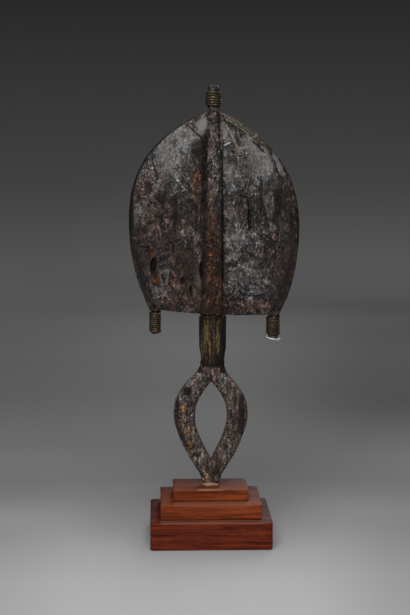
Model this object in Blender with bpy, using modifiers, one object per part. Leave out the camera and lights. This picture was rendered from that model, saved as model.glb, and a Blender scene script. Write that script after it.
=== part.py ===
"""Kota reliquary figure of the Mahongwe type, standing on a stepped wooden plinth.

Metres, +Z up. The carved wooden back looks towards -Y and the metal face
towards +Y. The origin is in the middle of the plinth's underside.
"""
import math

import bmesh
import bpy
import numpy
from mathutils import Matrix
from mathutils.geometry import interpolate_bezier

OBJECT_NAME = "kota_reliquary_figure"
GAP = 0.0003                     # left between pieces that touch

# Plinth boards from the bottom up: width, depth, height, corner radius
PLINTH_BOARDS = (
    ("plinth_lower", 0.1230, 0.1050, 0.0283, 0.0035),
    ("plinth_middle", 0.1024, 0.0820, 0.0158, 0.0015),
    ("plinth_upper", 0.0766, 0.0525, 0.0119, 0.0012),
)
BOARD_EDGE = 0.0008

# Brass strip folded over the upper right edge of the head
BINDING_FROM = 0.3990
BINDING_TO = 0.4335
BINDING_BACK = 0.0045            # reach over the back and over the face
BINDING_FRONT = 0.0028
BINDING_LIFT = 0.0006
BINDING_SHEET = 0.0005
BINDING_REBATE = 0.0012          # the wood is pared back under it, most in the middle
REBATE_ENDS = (0.392, 0.404)
REBATE_EXTRA = 0.0015
REBATE_MIDDLE = (0.400, 0.412, 0.420, 0.432)

# Putty bed between the plinth and the foot
PUTTY_X = 0.0007
PUTTY_HALF_X = 0.0092
PUTTY_HALF_Y = 0.0100
PUTTY_HEIGHT = 0.0037
PUTTY_RINGS = ((0.0, 1.05), (0.0012, 1.08), (0.0025, 1.0), (PUTTY_HEIGHT, 0.90))   # rise, spread

# Middle line of the carving, which isn't quite plumb: place at the foot, then shifts higher up
SPINE_FOOT_X = 0.0007
SPINE_NECK_SHIFT = (0.0019, 0.158, 0.188)        # shift, from height, to height
SPINE_TOP_SHIFT = (0.0017, 0.330, 0.392)

# Foot, open lozenge and neck: height and half width of the carved outline
STEM_OUTLINE = (
    (0.0600, 0.0096), (0.0650, 0.0103), (0.0740, 0.0153), (0.0920, 0.0258),
    (0.1120, 0.0343), (0.1330, 0.0380), (0.1480, 0.0345), (0.1630, 0.0242),
    (0.1680, 0.0200), (0.1740, 0.0151), (0.1800, 0.0126), (0.1840, 0.0113),
    (0.2000, 0.0125), (0.2312, 0.0127),
)
STEM_ROWS = 22
FOOT_HALF_DEPTH = 0.0095
LOZENGE_HALF_DEPTH = 0.0110
NECK_HALF_DEPTH = 0.0112
LOZENGE_CORNER = 0.0048
FOOT_TO_LOZENGE = (0.062, 0.080)
LOZENGE_TO_NECK = (0.158, 0.182)
CHIN_TOP = 0.2440                # the neck ends inside the head at this height
CHIN_Y = -0.0035
CHIN_SHRINK = (0.75, 0.60)
HOLE_OUTLINE = (
    (0.0822, 0.0003), (0.0925, 0.0054), (0.1050, 0.0116), (0.1180, 0.0156),
    (0.1310, 0.0164), (0.1430, 0.0140), (0.1550, 0.0074), (0.1640, 0.0004),
)
HOLE_CENTRE_X = 0.0010
HOLE_CHAMFER = 0.0030
HOLE_ROWS = 12
HOLE_OVERCUT = 0.0020

# Leaf-shaped head
HEAD_BOTTOM = 0.2326
HEAD_WIDEST = 0.3220
HEAD_TOP = 0.4365
HEAD_HALF = 0.0877               # half width at the widest height
LOWER_ARC = 0.2090               # radius of the sides below the widest height
SHOULDER_HALF = 0.0098
SIDE_HANDLE = 0.0560             # how far the ogive runs straight up from the widest point
SHOULDER_HANDLE = (0.0530, 0.0250)
BOTTOM_TILT = 0.0032             # the lower edge drops this much towards +X
BOTTOM_ARC = 0.0021              # and rises this much towards both corners
BOTTOM_FADE = 0.0350
HEAD_CENTRE_X = 0.0048
HEAD_LOW_SHIFT = (0.0013, 0.236, 0.252)
HEAD_MIDDLE_SHIFT = (-0.0008, 0.262, 0.300)
HEAD_TOP_SHIFT = (-0.0022, 0.300, 0.410)
FACE_Y = 0.0040                  # front face in the middle of the head
DISH = 0.0200                    # the sides stand this much further forward
TOP_CURL = 0.0160
CURL_START = 0.3000
THICK_MIDDLE = 0.0100
THICK_SIDE = 0.0065
THICK_EDGE = 0.0036
SIDE_BAND = 0.0035               # smooth band along the back's edge, wider at the lower corners
SIDE_BAND_EXTRA = (0.0060, 0.0090)               # left, right
SIDE_BAND_FADE = (0.240, 0.350)
RIB_HEIGHT = 0.0068
RIB_LEFT = -0.0094
RIB_LEFT_SHIFTS = ((0.0062, 0.300, 0.375), (0.0012, 0.385, 0.420))
RIB_RIGHT = 0.0130
RIB_RIGHT_SHIFT = (-0.0032, 0.330, 0.425)
GROOVE_DEPTH = 0.0020            # left of the rib
GROOVE_WIDTH = 0.0036
GROOVE_STARTS = (0.295, 0.340)
GROOVE_ENDS = (0.400, 0.430)
HEAD_HEIGHTS = (0.2326, 0.242, 0.253, 0.266, 0.280, 0.294, 0.308, 0.322, 0.336, 0.350, 0.363,
                0.376, 0.388, 0.399, 0.408, 0.416, 0.423, 0.429, 0.433, 0.4365)
EDGE_INSET = 0.0006

# Rot holes in the back: middle x, middle height, half width, half height
ROT_HOLES = ((-0.0570, 0.2840, 0.0028, 0.0130), (-0.0088, 0.2800, 0.0014, 0.0100),
             (0.0400, 0.3300, 0.0013, 0.0110))
ROT_DEPTH = 0.0042

# Topknot and the two pegs under the lower corners
TOPKNOT_X = 0.0037
TOPKNOT_Y = 0.0125
TOPKNOT_CORE = 0.0060
TOPKNOT_WIRE = (0.4423, 0.4588, 0.0023, 6)      # from, to, wire diameter, turns
TOPKNOT_ROOT = 0.4260
TOPKNOT_STEM = (0.0061, 0.0064)  # radius under the winding and at the root
TOPKNOT_DOME = ((0.0, 0.0057), (0.0034, 0.0053), (0.0052, 0.0041), (0.0062, 0.0018))
LEFT_PEG = (-0.0560, 0.0096, 0.2115, 0.0042, 0.2388)         # x, y, lowest point, core, top
RIGHT_PEG = (0.0650, 0.0096, 0.2060, 0.0051, 0.2345)
PEG_SHOULDER = 0.0020
LEFT_PEG_WIRE = (0.2128, 0.2350, 0.0020, 9)
RIGHT_PEG_WIRE = (0.2098, 0.2300, 0.0021, 9)
WIRE_SECTION = ((0.60, 0.02), (1.0, 0.30), (1.0, 0.70))      # of a turn: out, down

# Loose last turn under the right peg
LOOSE_TURN_OUT = 0.0029
LOOSE_TURN_FROM = 200.0
LOOSE_TURN_SWEEP = 290.0
LOOSE_TURN_RISE = 0.0016
LOOSE_TURN_DIP = 0.0026
LOOSE_TURN_WIRE = 0.0008

# Brass sheet round the neck
SHEATH_BOTTOM = 0.1822
SHEATH_TOP = 0.2307
SHEATH_SHEET = 0.0007
SHEATH_LIFT = 0.0006
SEAM_ANGLE = -88.0               # degrees from +X, so the seam is at the back
SEAM_WIDTH = 6.0

# Metal of the face: strips laid from a middle band out to the edge
SKIN_LIFT = 0.0005
SKIN_SHEET = 0.0008
STRIP_PITCH = 0.0062
STRIP_RISE = 0.0005
BAND_HALF = 0.0085
STRIPS_FROM = 0.2397
STRIPS_TO = 0.4245
BAND_FROM = 0.2470               # the neck swells into the chin below this
BAND_TO = 0.4265
EYE_HEIGHT = 0.2900
EYE_RADIUS = 0.0080
EYE_X = 0.0125
EYE_DOME = ((0.0, 0.0048), (0.0030, 0.0044), (0.0056, 0.0031), (0.0072, 0.0014),
            (EYE_RADIUS, 0.0), (0.0, 0.0))
BAND_CREASE = 0.0008
NOSE_HEIGHT = 0.2700
NOSE_STATIONS = ((0.2500, 0.0095, 0.0020), (0.2540, 0.0100, 0.0019),
                 (0.2700, 0.0060, 0.0016), (0.2860, 0.0025, 0.0013))     # height, proud, half width
STRIP_MARGIN = 0.0020            # from the head's edge
STRIP_MARGIN_EXTRA = (0.0075, 0.380, 0.392)
STRIP_MARGIN_LOW = (0.0026, 0.240, 0.262)
CHIN_MARGIN = (0.0090, 0.242, 0.252)

# Metal that hangs down the back, as routes of (x, height) points
BACK_STRIP = ((0.0166, 0.4240), (0.0225, 0.4120), (0.0300, 0.3960))
BACK_STRIP_HALF = 0.0015
BACK_STRIP_SHEET = 0.0006
BACK_STAPLE = ((0.0285, 0.3936), (0.0325, 0.3940))
BACK_STAPLE_RADIUS = 0.0007
BACK_WIRE = ((0.0318, 0.3915), (0.0345, 0.3820), (0.0372, 0.3740), (0.0392, 0.3700),
             (0.0380, 0.3630), (0.0362, 0.3560))
BACK_WIRE_RADIUS = 0.0005
BACK_PIN = ((0.0146, 0.4035), (0.0205, 0.4062))
BACK_PIN_RADIUS = 0.0008
BACK_CLEARANCE = 0.0004

MATERIALS = {
    "crusted_wood": ((0.085, 0.070, 0.062), 0.85, 0.0),
    "brass_wire": ((0.120, 0.085, 0.045), 0.45, 1.0),
    "neck_brass": ((0.150, 0.105, 0.050), 0.50, 1.0),
    "strip_brass": ((0.300, 0.220, 0.110), 0.40, 1.0),
    "face_brass": ((0.420, 0.270, 0.110), 0.40, 1.0),
    "copper_wire": ((0.300, 0.130, 0.060), 0.45, 1.0),
    "pin_steel": ((0.600, 0.620, 0.620), 0.30, 1.0),
    "plinth_dark": ((0.090, 0.022, 0.013), 0.40, 0.0),
    "plinth_red": ((0.130, 0.035, 0.015), 0.40, 0.0),
    "putty": ((0.420, 0.360, 0.200), 0.90, 0.0),
}


def clear_scene():
    """Removes whatever the file opened with."""
    for item in list(bpy.data.objects):
        bpy.data.objects.remove(item, do_unlink=True)


def collection(name):
    """New collection in the scene."""
    made = bpy.data.collections.new(name)
    bpy.context.scene.collection.children.link(made)
    return made


def material(name):
    """Plain finish of one kind, made once."""
    colour, roughness, metallic = MATERIALS[name]
    made = bpy.data.materials.get(name) or bpy.data.materials.new(name)
    made.use_nodes = True
    shader = made.node_tree.nodes["Principled BSDF"]
    shader.inputs["Base Color"].default_value = (*colour, 1.0)
    shader.inputs["Roughness"].default_value = roughness
    shader.inputs["Metallic"].default_value = metallic
    return made


def piece(name, mesh, finish):
    """Puts a mesh in the object's collection as a named piece."""
    made = bpy.data.objects.new(name, mesh)
    mesh.materials.clear()
    mesh.materials.append(material(finish))
    PIECES.objects.link(made)
    return made


def guide(name, mesh):
    """A shape that is only joined to or cut from a piece."""
    made = bpy.data.objects.new(name, mesh)
    made.hide_render = True
    made.display_type = "WIRE"
    GUIDES.objects.link(made)
    return made


def combine(target, other, operation):
    """Joins a guide to a piece, or cuts it out."""
    step = target.modifiers.new(other.name, "BOOLEAN")
    step.operation = operation
    step.solver = "EXACT"
    step.object = other


def evaluated_mesh(source):
    """The mesh that an object's modifiers or its curve make, with its caps welded."""
    bpy.context.view_layer.update()
    graph = bpy.context.evaluated_depsgraph_get()
    mesh = bpy.data.meshes.new_from_object(source.evaluated_get(graph))
    work = bmesh.new()
    work.from_mesh(mesh)
    bmesh.ops.remove_doubles(work, verts=work.verts, dist=1e-6)
    bmesh.ops.recalc_face_normals(work, faces=work.faces)
    work.to_mesh(mesh)
    work.free()
    return mesh


def soften(mesh, degrees=35.0):
    """Shades a mesh smooth but for its sharper edges."""
    mesh.shade_smooth()
    mesh.set_sharp_from_angle(angle=math.radians(degrees))
    return mesh


def ramp(value, start, end):
    """Smooth step from 0 at start to 1 at end."""
    share = min(max((value - start) / (end - start), 0.0), 1.0)
    return share * share * (3.0 - 2.0 * share)


def through(points, height):
    """Smooth curve through (height, value) points, read at a height."""
    heights = [point[0] for point in points]
    values = [point[1] for point in points]
    height = min(max(height, heights[0]), heights[-1])
    last = len(points) - 2
    k = min(max(numpy.searchsorted(heights, height) - 1, 0), last)
    slopes = numpy.gradient(values, heights)
    span = heights[k + 1] - heights[k]
    t = (height - heights[k]) / span
    return float((2 * t**3 - 3 * t**2 + 1) * values[k] + (t**3 - 2 * t**2 + t) * span * slopes[k]
                 + (3 * t**2 - 2 * t**3) * values[k + 1] + (t**3 - t**2) * span * slopes[k + 1])


def loft(name, rings):
    """Closed mesh through rings of equally many points, with flat caps."""
    work = bmesh.new()
    rows = [[work.verts.new(point) for point in ring] for ring in rings]
    count = len(rings[0])
    for low, high in zip(rows, rows[1:]):
        for k in range(count):
            after = (k + 1) % count
            work.faces.new((low[k], low[after], high[after], high[k]))
    work.faces.new(reversed(rows[0]))
    work.faces.new(rows[-1])
    bmesh.ops.recalc_face_normals(work, faces=work.faces)
    mesh = bpy.data.meshes.new(name)
    work.to_mesh(mesh)
    work.free()
    return mesh


def sheet(name, rows):
    """Open surface through rows of equally many points."""
    work = bmesh.new()
    grid = [[work.verts.new(point) for point in row] for row in rows]
    for low, high in zip(grid, grid[1:]):
        for k in range(len(low) - 1):
            work.faces.new((low[k], low[k + 1], high[k + 1], high[k]))
    mesh = bpy.data.meshes.new(name)
    work.to_mesh(mesh)
    work.free()
    return mesh


def thicken(target, thickness):
    """Gives a sheet its thickness, to the side that its faces look."""
    step = target.modifiers.new("thickness", "SOLIDIFY")
    step.thickness = thickness
    step.offset = 1.0
    step.use_even_offset = True


def turned(name, profile, steps):
    """Mesh turned about Z from (radius, height) points that run top to bottom."""
    work = bmesh.new()
    corners = [work.verts.new((radius, 0.0, height)) for radius, height in profile]
    for first, second in zip(corners, corners[1:]):
        work.edges.new((first, second))
    if profile[0][0] > 0.0:
        work.edges.new((corners[-1], corners[0]))
    mesh = bpy.data.meshes.new(name)
    work.to_mesh(mesh)
    work.free()
    source = bpy.data.objects.new(name, mesh)
    GUIDES.objects.link(source)
    screw = source.modifiers.new("turning", "SCREW")
    screw.steps = steps
    screw.render_steps = steps
    screw.use_merge_vertices = True
    screw.merge_threshold = 1e-5
    made = evaluated_mesh(source)
    bpy.data.objects.remove(source, do_unlink=True)
    return made


def tube(name, points, radius):
    """Round wire along points, with filled ends."""
    curve = bpy.data.curves.new(name, "CURVE")
    curve.dimensions = "3D"
    curve.bevel_depth = radius
    curve.bevel_resolution = 2
    curve.use_fill_caps = True
    line = curve.splines.new("POLY")
    line.points.add(len(points) - 1)
    for target, point in zip(line.points, points):
        target.co = (*point, 1.0)
    source = bpy.data.objects.new(name, curve)
    GUIDES.objects.link(source)
    made = evaluated_mesh(source)
    bpy.data.objects.remove(source, do_unlink=True)
    return made


# Carved figure

def shifted(height, shift):
    """An amount that comes in smoothly between two heights."""
    amount, start, end = shift
    return amount * ramp(height, start, end)


def spine(height):
    """Middle line of the foot, neck, rib and topknot: the carving isn't quite plumb."""
    return SPINE_FOOT_X + shifted(height, SPINE_NECK_SHIFT) + shifted(height, SPINE_TOP_SHIFT)


def oval(centre_x, centre_y, height, half_x, half_y, corner):
    """Ring of 20 points: a rectangle whose corners are rounded, up to a full oval."""
    corner_x = min(corner, half_x)
    corner_y = min(corner, half_y)
    ring = []
    for quarter in range(4):
        side_x = (1, -1, -1, 1)[quarter]
        side_y = (1, 1, -1, -1)[quarter]
        for step in range(5):
            angle = math.radians(90.0 * quarter + 5.0 + 20.0 * step)
            ring.append((centre_x + side_x * (half_x - corner_x) + corner_x * math.cos(angle),
                         centre_y + side_y * (half_y - corner_y) + corner_y * math.sin(angle),
                         height))
    return ring


def stem_section(height):
    """Half width, half depth and corner radius of the foot, lozenge and neck."""
    half_x = through(STEM_OUTLINE, height)
    to_lozenge = ramp(height, *FOOT_TO_LOZENGE)
    to_neck = ramp(height, *LOZENGE_TO_NECK)
    half_y = (FOOT_HALF_DEPTH + (LOZENGE_HALF_DEPTH - FOOT_HALF_DEPTH) * to_lozenge
              + (NECK_HALF_DEPTH - LOZENGE_HALF_DEPTH) * to_neck)
    corner = LOZENGE_CORNER + (max(half_x, half_y) - LOZENGE_CORNER) * to_neck
    return half_x, half_y, corner


def stem_mesh():
    """Foot, lozenge and neck, still without the opening, up into the head."""
    low = STEM_OUTLINE[0][0]
    high = STEM_OUTLINE[-1][0]
    rings = []
    for row in range(STEM_ROWS):
        height = low + (high - low) * row / (STEM_ROWS - 1)
        rings.append(oval(spine(height), 0.0, height, *stem_section(height)))
    half_x, half_y, corner = stem_section(high)
    rings.append(oval(spine(CHIN_TOP), CHIN_Y, CHIN_TOP, half_x * CHIN_SHRINK[0],
                      half_y * CHIN_SHRINK[1], corner))
    return loft("stem", rings)


def hole_mesh():
    """Cutter for the lozenge's opening, flared where it leaves both faces."""
    low = HOLE_OUTLINE[0][0]
    high = HOLE_OUTLINE[-1][0]
    middle = (low + high) / 2
    heights = [low + (high - low) * k / (HOLE_ROWS - 1) for k in range(HOLE_ROWS)]
    right = [(through(HOLE_OUTLINE, height), height) for height in heights]
    outline = right + [(-half, height) for half, height in reversed(right)]
    widest = max(half for half, _ in right)
    face = LOZENGE_HALF_DEPTH
    rings = []
    for depth, flare in ((-face - HOLE_OVERCUT, HOLE_CHAMFER + HOLE_OVERCUT), (-face + HOLE_CHAMFER, 0.0),
                         (face - HOLE_CHAMFER, 0.0), (face + HOLE_OVERCUT, HOLE_CHAMFER + HOLE_OVERCUT)):
        wide = 1.0 + flare / widest
        tall = 1.0 + flare / (high - middle)
        rings.append([(HOLE_CENTRE_X + across * wide, depth, middle + (height - middle) * tall)
                      for across, height in outline])
    return loft("lozenge_opening", rings)


OGIVE = interpolate_bezier(
    (HEAD_HALF, 0.0, HEAD_WIDEST), (HEAD_HALF, 0.0, HEAD_WIDEST + SIDE_HANDLE),
    (SHOULDER_HALF + SHOULDER_HANDLE[0], 0.0, HEAD_TOP - SHOULDER_HANDLE[1]),
    (SHOULDER_HALF, 0.0, HEAD_TOP), 64)


def head_half(height):
    """Half width of the leaf: an arc below the widest height, an ogive above it."""
    if height <= HEAD_WIDEST:
        drop = HEAD_WIDEST - height
        return HEAD_HALF - LOWER_ARC + math.sqrt(LOWER_ARC**2 - drop**2)
    return float(numpy.interp(height, [p[2] for p in OGIVE], [p[0] for p in OGIVE]))


def head_centre(height):
    """Middle of the leaf, which leans a little to the left towards its top."""
    return HEAD_CENTRE_X + sum(shifted(height, shift) for shift in (HEAD_LOW_SHIFT, HEAD_MIDDLE_SHIFT,
                                                                    HEAD_TOP_SHIFT))


def rebate(height):
    """How far the right edge is pared back."""
    rise, full, fall, end = REBATE_MIDDLE
    extra = REBATE_EXTRA * ramp(height, rise, full) * (1.0 - ramp(height, fall, end))
    return BINDING_REBATE * ramp(height, *REBATE_ENDS) + extra


def head_edge(height, side):
    """The outline to the left (-1) or right (1), cut back where the binding grips it."""
    return head_centre(height) + side * (head_half(height) - (rebate(height) if side > 0 else 0.0))


def face_y(x, height):
    """Front face of the head: hollow from side to side, its top curling forward."""
    across = (x - head_centre(height)) / HEAD_HALF
    curl = max(0.0, (height - CURL_START) / (HEAD_TOP - CURL_START))
    return FACE_Y + DISH * across**2 + TOP_CURL * curl**2


def bevel_width(height, side):
    """Smooth band along the back's edge, wide at the lower corners."""
    extra = SIDE_BAND_EXTRA[1 if side > 0 else 0] * (1.0 - ramp(height, *SIDE_BAND_FADE))
    return min(SIDE_BAND + extra, 0.25 * head_half(height))


def panel_y(x, height):
    """Back face of the head without its rib."""
    side = 1 if x > head_centre(height) else -1
    reach = abs(x - head_centre(height))
    thick = THICK_MIDDLE + (THICK_SIDE - THICK_MIDDLE) * min(reach / HEAD_HALF, 1.0)**2
    to_edge = side * (head_edge(height, side) - x)
    into_bevel = max(0.0, 1.0 - to_edge / bevel_width(height, side))
    thick += (THICK_EDGE - thick) * min(into_bevel, 1.0)
    return face_y(x, height) - thick


def rib_sides(height):
    """Left and right foot of the rib, which widens downwards."""
    left = RIB_LEFT + sum(shifted(height, shift) for shift in RIB_LEFT_SHIFTS)
    return left, RIB_RIGHT + shifted(height, RIB_RIGHT_SHIFT)


def groove_depth(height):
    """Depth of the groove along the rib's left foot."""
    return GROOVE_DEPTH * ramp(height, *GROOVE_STARTS) * (1.0 - ramp(height, *GROOVE_ENDS))


def head_ring(height):
    """One level of the head, counted from the right edge over the face and round the back."""
    rib_left, rib_right = rib_sides(height)
    points = []

    def add(x, y):
        points.append((x, y, height))

    right, left = head_edge(height, 1), head_edge(height, -1)
    add(right, face_y(right, height) - THICK_EDGE / 2)
    for step in range(10):
        x = right - EDGE_INSET + (left - right + 2 * EDGE_INSET) * step / 9
        add(x, face_y(x, height))
    add(left, face_y(left, height) - THICK_EDGE / 2)
    inner_left = left + bevel_width(height, -1)
    inner_right = right - bevel_width(height, 1)
    rib_right = min(rib_right, inner_right - GAP)
    panel_end = max(rib_left - GROOVE_WIDTH, inner_left + GAP)
    groove = (panel_end + 2.0 * rib_left) / 3.0
    add(left + EDGE_INSET, panel_y(left + EDGE_INSET, height))
    for share in (0.0, 0.36, 0.70, 1.0):
        x = inner_left + (panel_end - inner_left) * share
        add(x, panel_y(x, height))
    add(groove, panel_y(groove, height) + groove_depth(height))
    for share in (0.0, 0.12, 0.35, 0.65, 0.88, 1.0):
        x = rib_left + (rib_right - rib_left) * share
        crown = math.sqrt(max(0.0, 1.0 - (2.0 * share - 1.0)**2))
        add(x, panel_y(x, height) - RIB_HEIGHT * crown)
    for share in (0.30, 0.64, 1.0):
        x = rib_right + (inner_right - rib_right) * share
        add(x, panel_y(x, height))
    add(right - EDGE_INSET, panel_y(right - EDGE_INSET, height))
    return points


def head_mesh():
    """Level rings first. Then the lower edge is tilted and arched, with its underside in triangles."""
    mesh = loft("head", [head_ring(height) for height in HEAD_HEIGHTS])
    work = bmesh.new()
    work.from_mesh(mesh)
    bmesh.ops.triangulate(work, faces=[face for face in work.faces if len(face.verts) > 4])
    for vert in work.verts:
        height = vert.co.z
        across = (vert.co.x - head_centre(height)) / head_half(height)
        fade = 1.0 - ramp(height, HEAD_BOTTOM, HEAD_BOTTOM + BOTTOM_FADE)
        vert.co.z += fade * (BOTTOM_ARC * across**2 - BOTTOM_TILT * across)
    work.to_mesh(mesh)
    work.free()
    return mesh


def topknot_mesh():
    """Turned stem under the winding and the wooden knob above it."""
    low, high = TOPKNOT_WIRE[:2]
    stem, root = TOPKNOT_STEM
    profile = [(radius, high + rise) for radius, rise in TOPKNOT_DOME]
    profile += [(TOPKNOT_CORE, high - 0.0010), (TOPKNOT_CORE, low - GAP), (stem, low - 0.0008),
                (root, TOPKNOT_ROOT), (0.0, TOPKNOT_ROOT)]
    mesh = turned("topknot", profile, 18)
    mesh.transform(Matrix.Translation((TOPKNOT_X, TOPKNOT_Y, 0.0)))
    return mesh


def peg_mesh(name, place, wire_top):
    """Round peg under a lower corner, a little thicker where it leaves the head."""
    x, y, low, core, top = place
    shoulder = core + PEG_SHOULDER
    profile = [(0.0, top), (shoulder, top), (shoulder, wire_top + 0.0004), (core, wire_top + 0.0002),
               (core, low + 0.0006), (core - 0.0008, low), (0.0, low)]
    mesh = turned(name, profile, 14)
    mesh.transform(Matrix.Translation((x, y, 0.0)))
    return mesh


def rot_hole_mesh(name, place):
    """Long pit cut into the back of the head."""
    x, height, half_x, half_z = place
    work = bmesh.new()
    bmesh.ops.create_uvsphere(work, u_segments=8, v_segments=6, radius=1.0)
    size = Matrix.Diagonal((half_x, ROT_DEPTH, half_z, 1.0))
    bmesh.ops.transform(work, verts=work.verts, matrix=Matrix.Translation(
        (x, panel_y(x, height), height)) @ size)
    mesh = bpy.data.meshes.new(name)
    work.to_mesh(mesh)
    work.free()
    return mesh


def make_figure():
    """The whole carving: one piece of wood from the foot to the topknot."""
    figure = piece("figure_wood", head_mesh(), "crusted_wood")
    for name, mesh in (("stem", stem_mesh()), ("topknot", topknot_mesh()),
                       ("left_peg", peg_mesh("left_peg", LEFT_PEG, LEFT_PEG_WIRE[1])),
                       ("right_peg", peg_mesh("right_peg", RIGHT_PEG, RIGHT_PEG_WIRE[1]))):
        combine(figure, guide(name, mesh), "UNION")
    combine(figure, guide("lozenge_opening", hole_mesh()), "DIFFERENCE")
    for number, place in enumerate(ROT_HOLES, start=1):
        name = f"rot_hole_{number}"
        combine(figure, guide(name, rot_hole_mesh(name, place)), "DIFFERENCE")


# Wire windings and the neck's sheath

def winding_mesh(name, wire, core, steps):
    """Turns of wire side by side round a core, as one ridged sleeve."""
    low, high, thick, turns = wire
    pitch = (high - low) / turns
    inner = core + GAP
    outer = []
    for turn in range(turns):
        top = high - turn * pitch
        outer += [(inner + thick * out, top - pitch * down) for out, down in WIRE_SECTION]
    outer.append((inner + thick * WIRE_SECTION[0][0], low))
    return turned(name, [(inner, high)] + outer + [(inner, low)], steps)


def make_windings():
    """Wire round the topknot and round both pegs."""
    crown = winding_mesh("topknot_wire", TOPKNOT_WIRE, TOPKNOT_CORE, 14)
    crown.transform(Matrix.Translation((TOPKNOT_X, TOPKNOT_Y, 0.0)))
    piece("topknot_wire", soften(crown), "brass_wire")
    for name, place, wire in (("left_peg_wire", LEFT_PEG, LEFT_PEG_WIRE),
                              ("right_peg_wire", RIGHT_PEG, RIGHT_PEG_WIRE)):
        mesh = winding_mesh(name, wire, place[3], 10)
        mesh.transform(Matrix.Translation((place[0], place[1], 0.0)))
        piece(name, soften(mesh), "brass_wire")


def make_loose_turn():
    """The right winding's last turn hangs loose under it, round the peg's end."""
    x, y, low, core, _ = RIGHT_PEG
    radius = core + LOOSE_TURN_OUT
    points = []
    for step in range(13):
        angle = math.radians(LOOSE_TURN_FROM + LOOSE_TURN_SWEEP * step / 12)
        dip = LOOSE_TURN_DIP * math.sin(math.pi * step / 12)
        points.append((x + radius * math.cos(angle), y + radius * math.sin(angle),
                       low + LOOSE_TURN_RISE - dip))
    mesh = tube("right_peg_loose_turn", points, LOOSE_TURN_WIRE)
    piece("right_peg_loose_turn", soften(mesh), "pin_steel")


def make_sheath():
    """Brass sheet bent round the neck, its two edges nearly meeting at the back."""
    rows = []
    for row in range(6):
        height = SHEATH_BOTTOM + (SHEATH_TOP - SHEATH_BOTTOM) * row / 5
        half_x, half_y, _ = stem_section(height)
        half_x += SHEATH_LIFT
        half_y += SHEATH_LIFT
        points = []
        for step in range(21):
            angle = math.radians(SEAM_ANGLE + SEAM_WIDTH / 2 + (360.0 - SEAM_WIDTH) * step / 20)
            points.append((spine(height) + half_x * math.cos(angle), half_y * math.sin(angle), height))
        rows.append(points)
    sheath = piece("neck_sheath", soften(sheet("neck_sheath", rows)), "neck_brass")
    thicken(sheath, SHEATH_SHEET)


# Metal of the face

def skin_rows(side, heights, inner, outer, columns, rise=None):
    """Rows of points just in front of the face, from the middle towards one edge."""
    rows = []
    for k, height in enumerate(heights):
        centre = head_centre(height)
        start, end = inner(height), outer(height)
        row = []
        for step in range(columns + 1):
            x = centre + side * (start + (end - start) * step / columns)
            lift = SKIN_LIFT + (rise[k] if rise else 0.0)
            row.append((x, face_y(x, height) + lift, height))
        rows.append(row if side < 0 else row[::-1])
    return rows


def make_face_strips():
    """Thin brass strips laid across the face, each lapping over the one below."""
    count = round((STRIPS_TO - STRIPS_FROM) / STRIP_PITCH)
    heights = []
    rise = []
    for k in range(count):
        low = STRIPS_FROM + k * STRIP_PITCH
        heights += [low, low + 0.84 * STRIP_PITCH]
        rise += [0.0, STRIP_RISE]
    for side, name in ((-1, "face_strips_left"), (1, "face_strips_right")):
        rows = skin_rows(side, heights, strip_start, strip_end, 3, rise)
        thicken(piece(name, sheet(name, rows), "strip_brass"), SKIN_SHEET)


def strip_start(height):
    """The strips start beside the middle band, and beside the chin at the bottom."""
    extra, start, end = CHIN_MARGIN
    return BAND_HALF + 0.0010 + extra * (1.0 - ramp(height, start, end))


def strip_end(height):
    """The strips stop short of the edge, more so at the bottom and where the binding grips it."""
    extra, start, end = STRIP_MARGIN_LOW
    low = extra * (1.0 - ramp(height, start, end))
    return head_half(height) - STRIP_MARGIN - low - shifted(height, STRIP_MARGIN_EXTRA)


def make_face_band():
    """Broad brass band down the middle of the face, with a low crease."""
    rows = []
    for step in range(13):
        height = BAND_FROM + (BAND_TO - BAND_FROM) * step / 12
        half = min(BAND_HALF, 0.55 * head_half(height))
        row = []
        for share in (-1.0, -0.5, 0.0, 0.5, 1.0):
            x = head_centre(height) + half * share
            row.append((x, face_y(x, height) + SKIN_LIFT + BAND_CREASE * (1.0 - abs(share)), height))
        rows.append(row[::-1])
    thicken(piece("face_band", sheet("face_band", rows), "face_brass"), SKIN_SHEET)


def make_eyes_and_nose():
    """Two domed studs and a narrow blade between them."""
    front = SKIN_LIFT + SKIN_SHEET + STRIP_RISE + 2 * GAP
    for side, name in ((-1, "left_eye"), (1, "right_eye")):
        x = head_centre(EYE_HEIGHT) + side * EYE_X
        mesh = turned(name, EYE_DOME, 20)
        y = face_y(x + side * EYE_RADIUS, EYE_HEIGHT) + front
        mesh.transform(Matrix.Translation((x, y, EYE_HEIGHT)) @ Matrix.Rotation(-math.pi / 2, 4, "X"))
        piece(name, soften(mesh), "face_brass")
    x = head_centre(NOSE_HEIGHT)
    base = FACE_Y + SKIN_LIFT + SKIN_SHEET + BAND_CREASE + 2 * GAP
    rings = []
    for height, proud, half in NOSE_STATIONS:
        rings.append([(x + half, base, height), (x + half * 0.6, base + proud, height),
                      (x - half * 0.6, base + proud, height), (x - half, base, height)])
    piece("nose_blade", loft("nose_blade", rings), "face_brass")


# Metal on the back's upper right

def edge_frame(height):
    """A point on the head's right edge and the direction outwards from it."""
    step = 0.0008
    low, high = height - step, min(height + step, HEAD_TOP)
    rise = high - low
    run = head_edge(high, 1) - head_edge(low, 1)
    length = math.hypot(rise, run)
    return head_edge(height, 1), rise / length, -run / length


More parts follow.
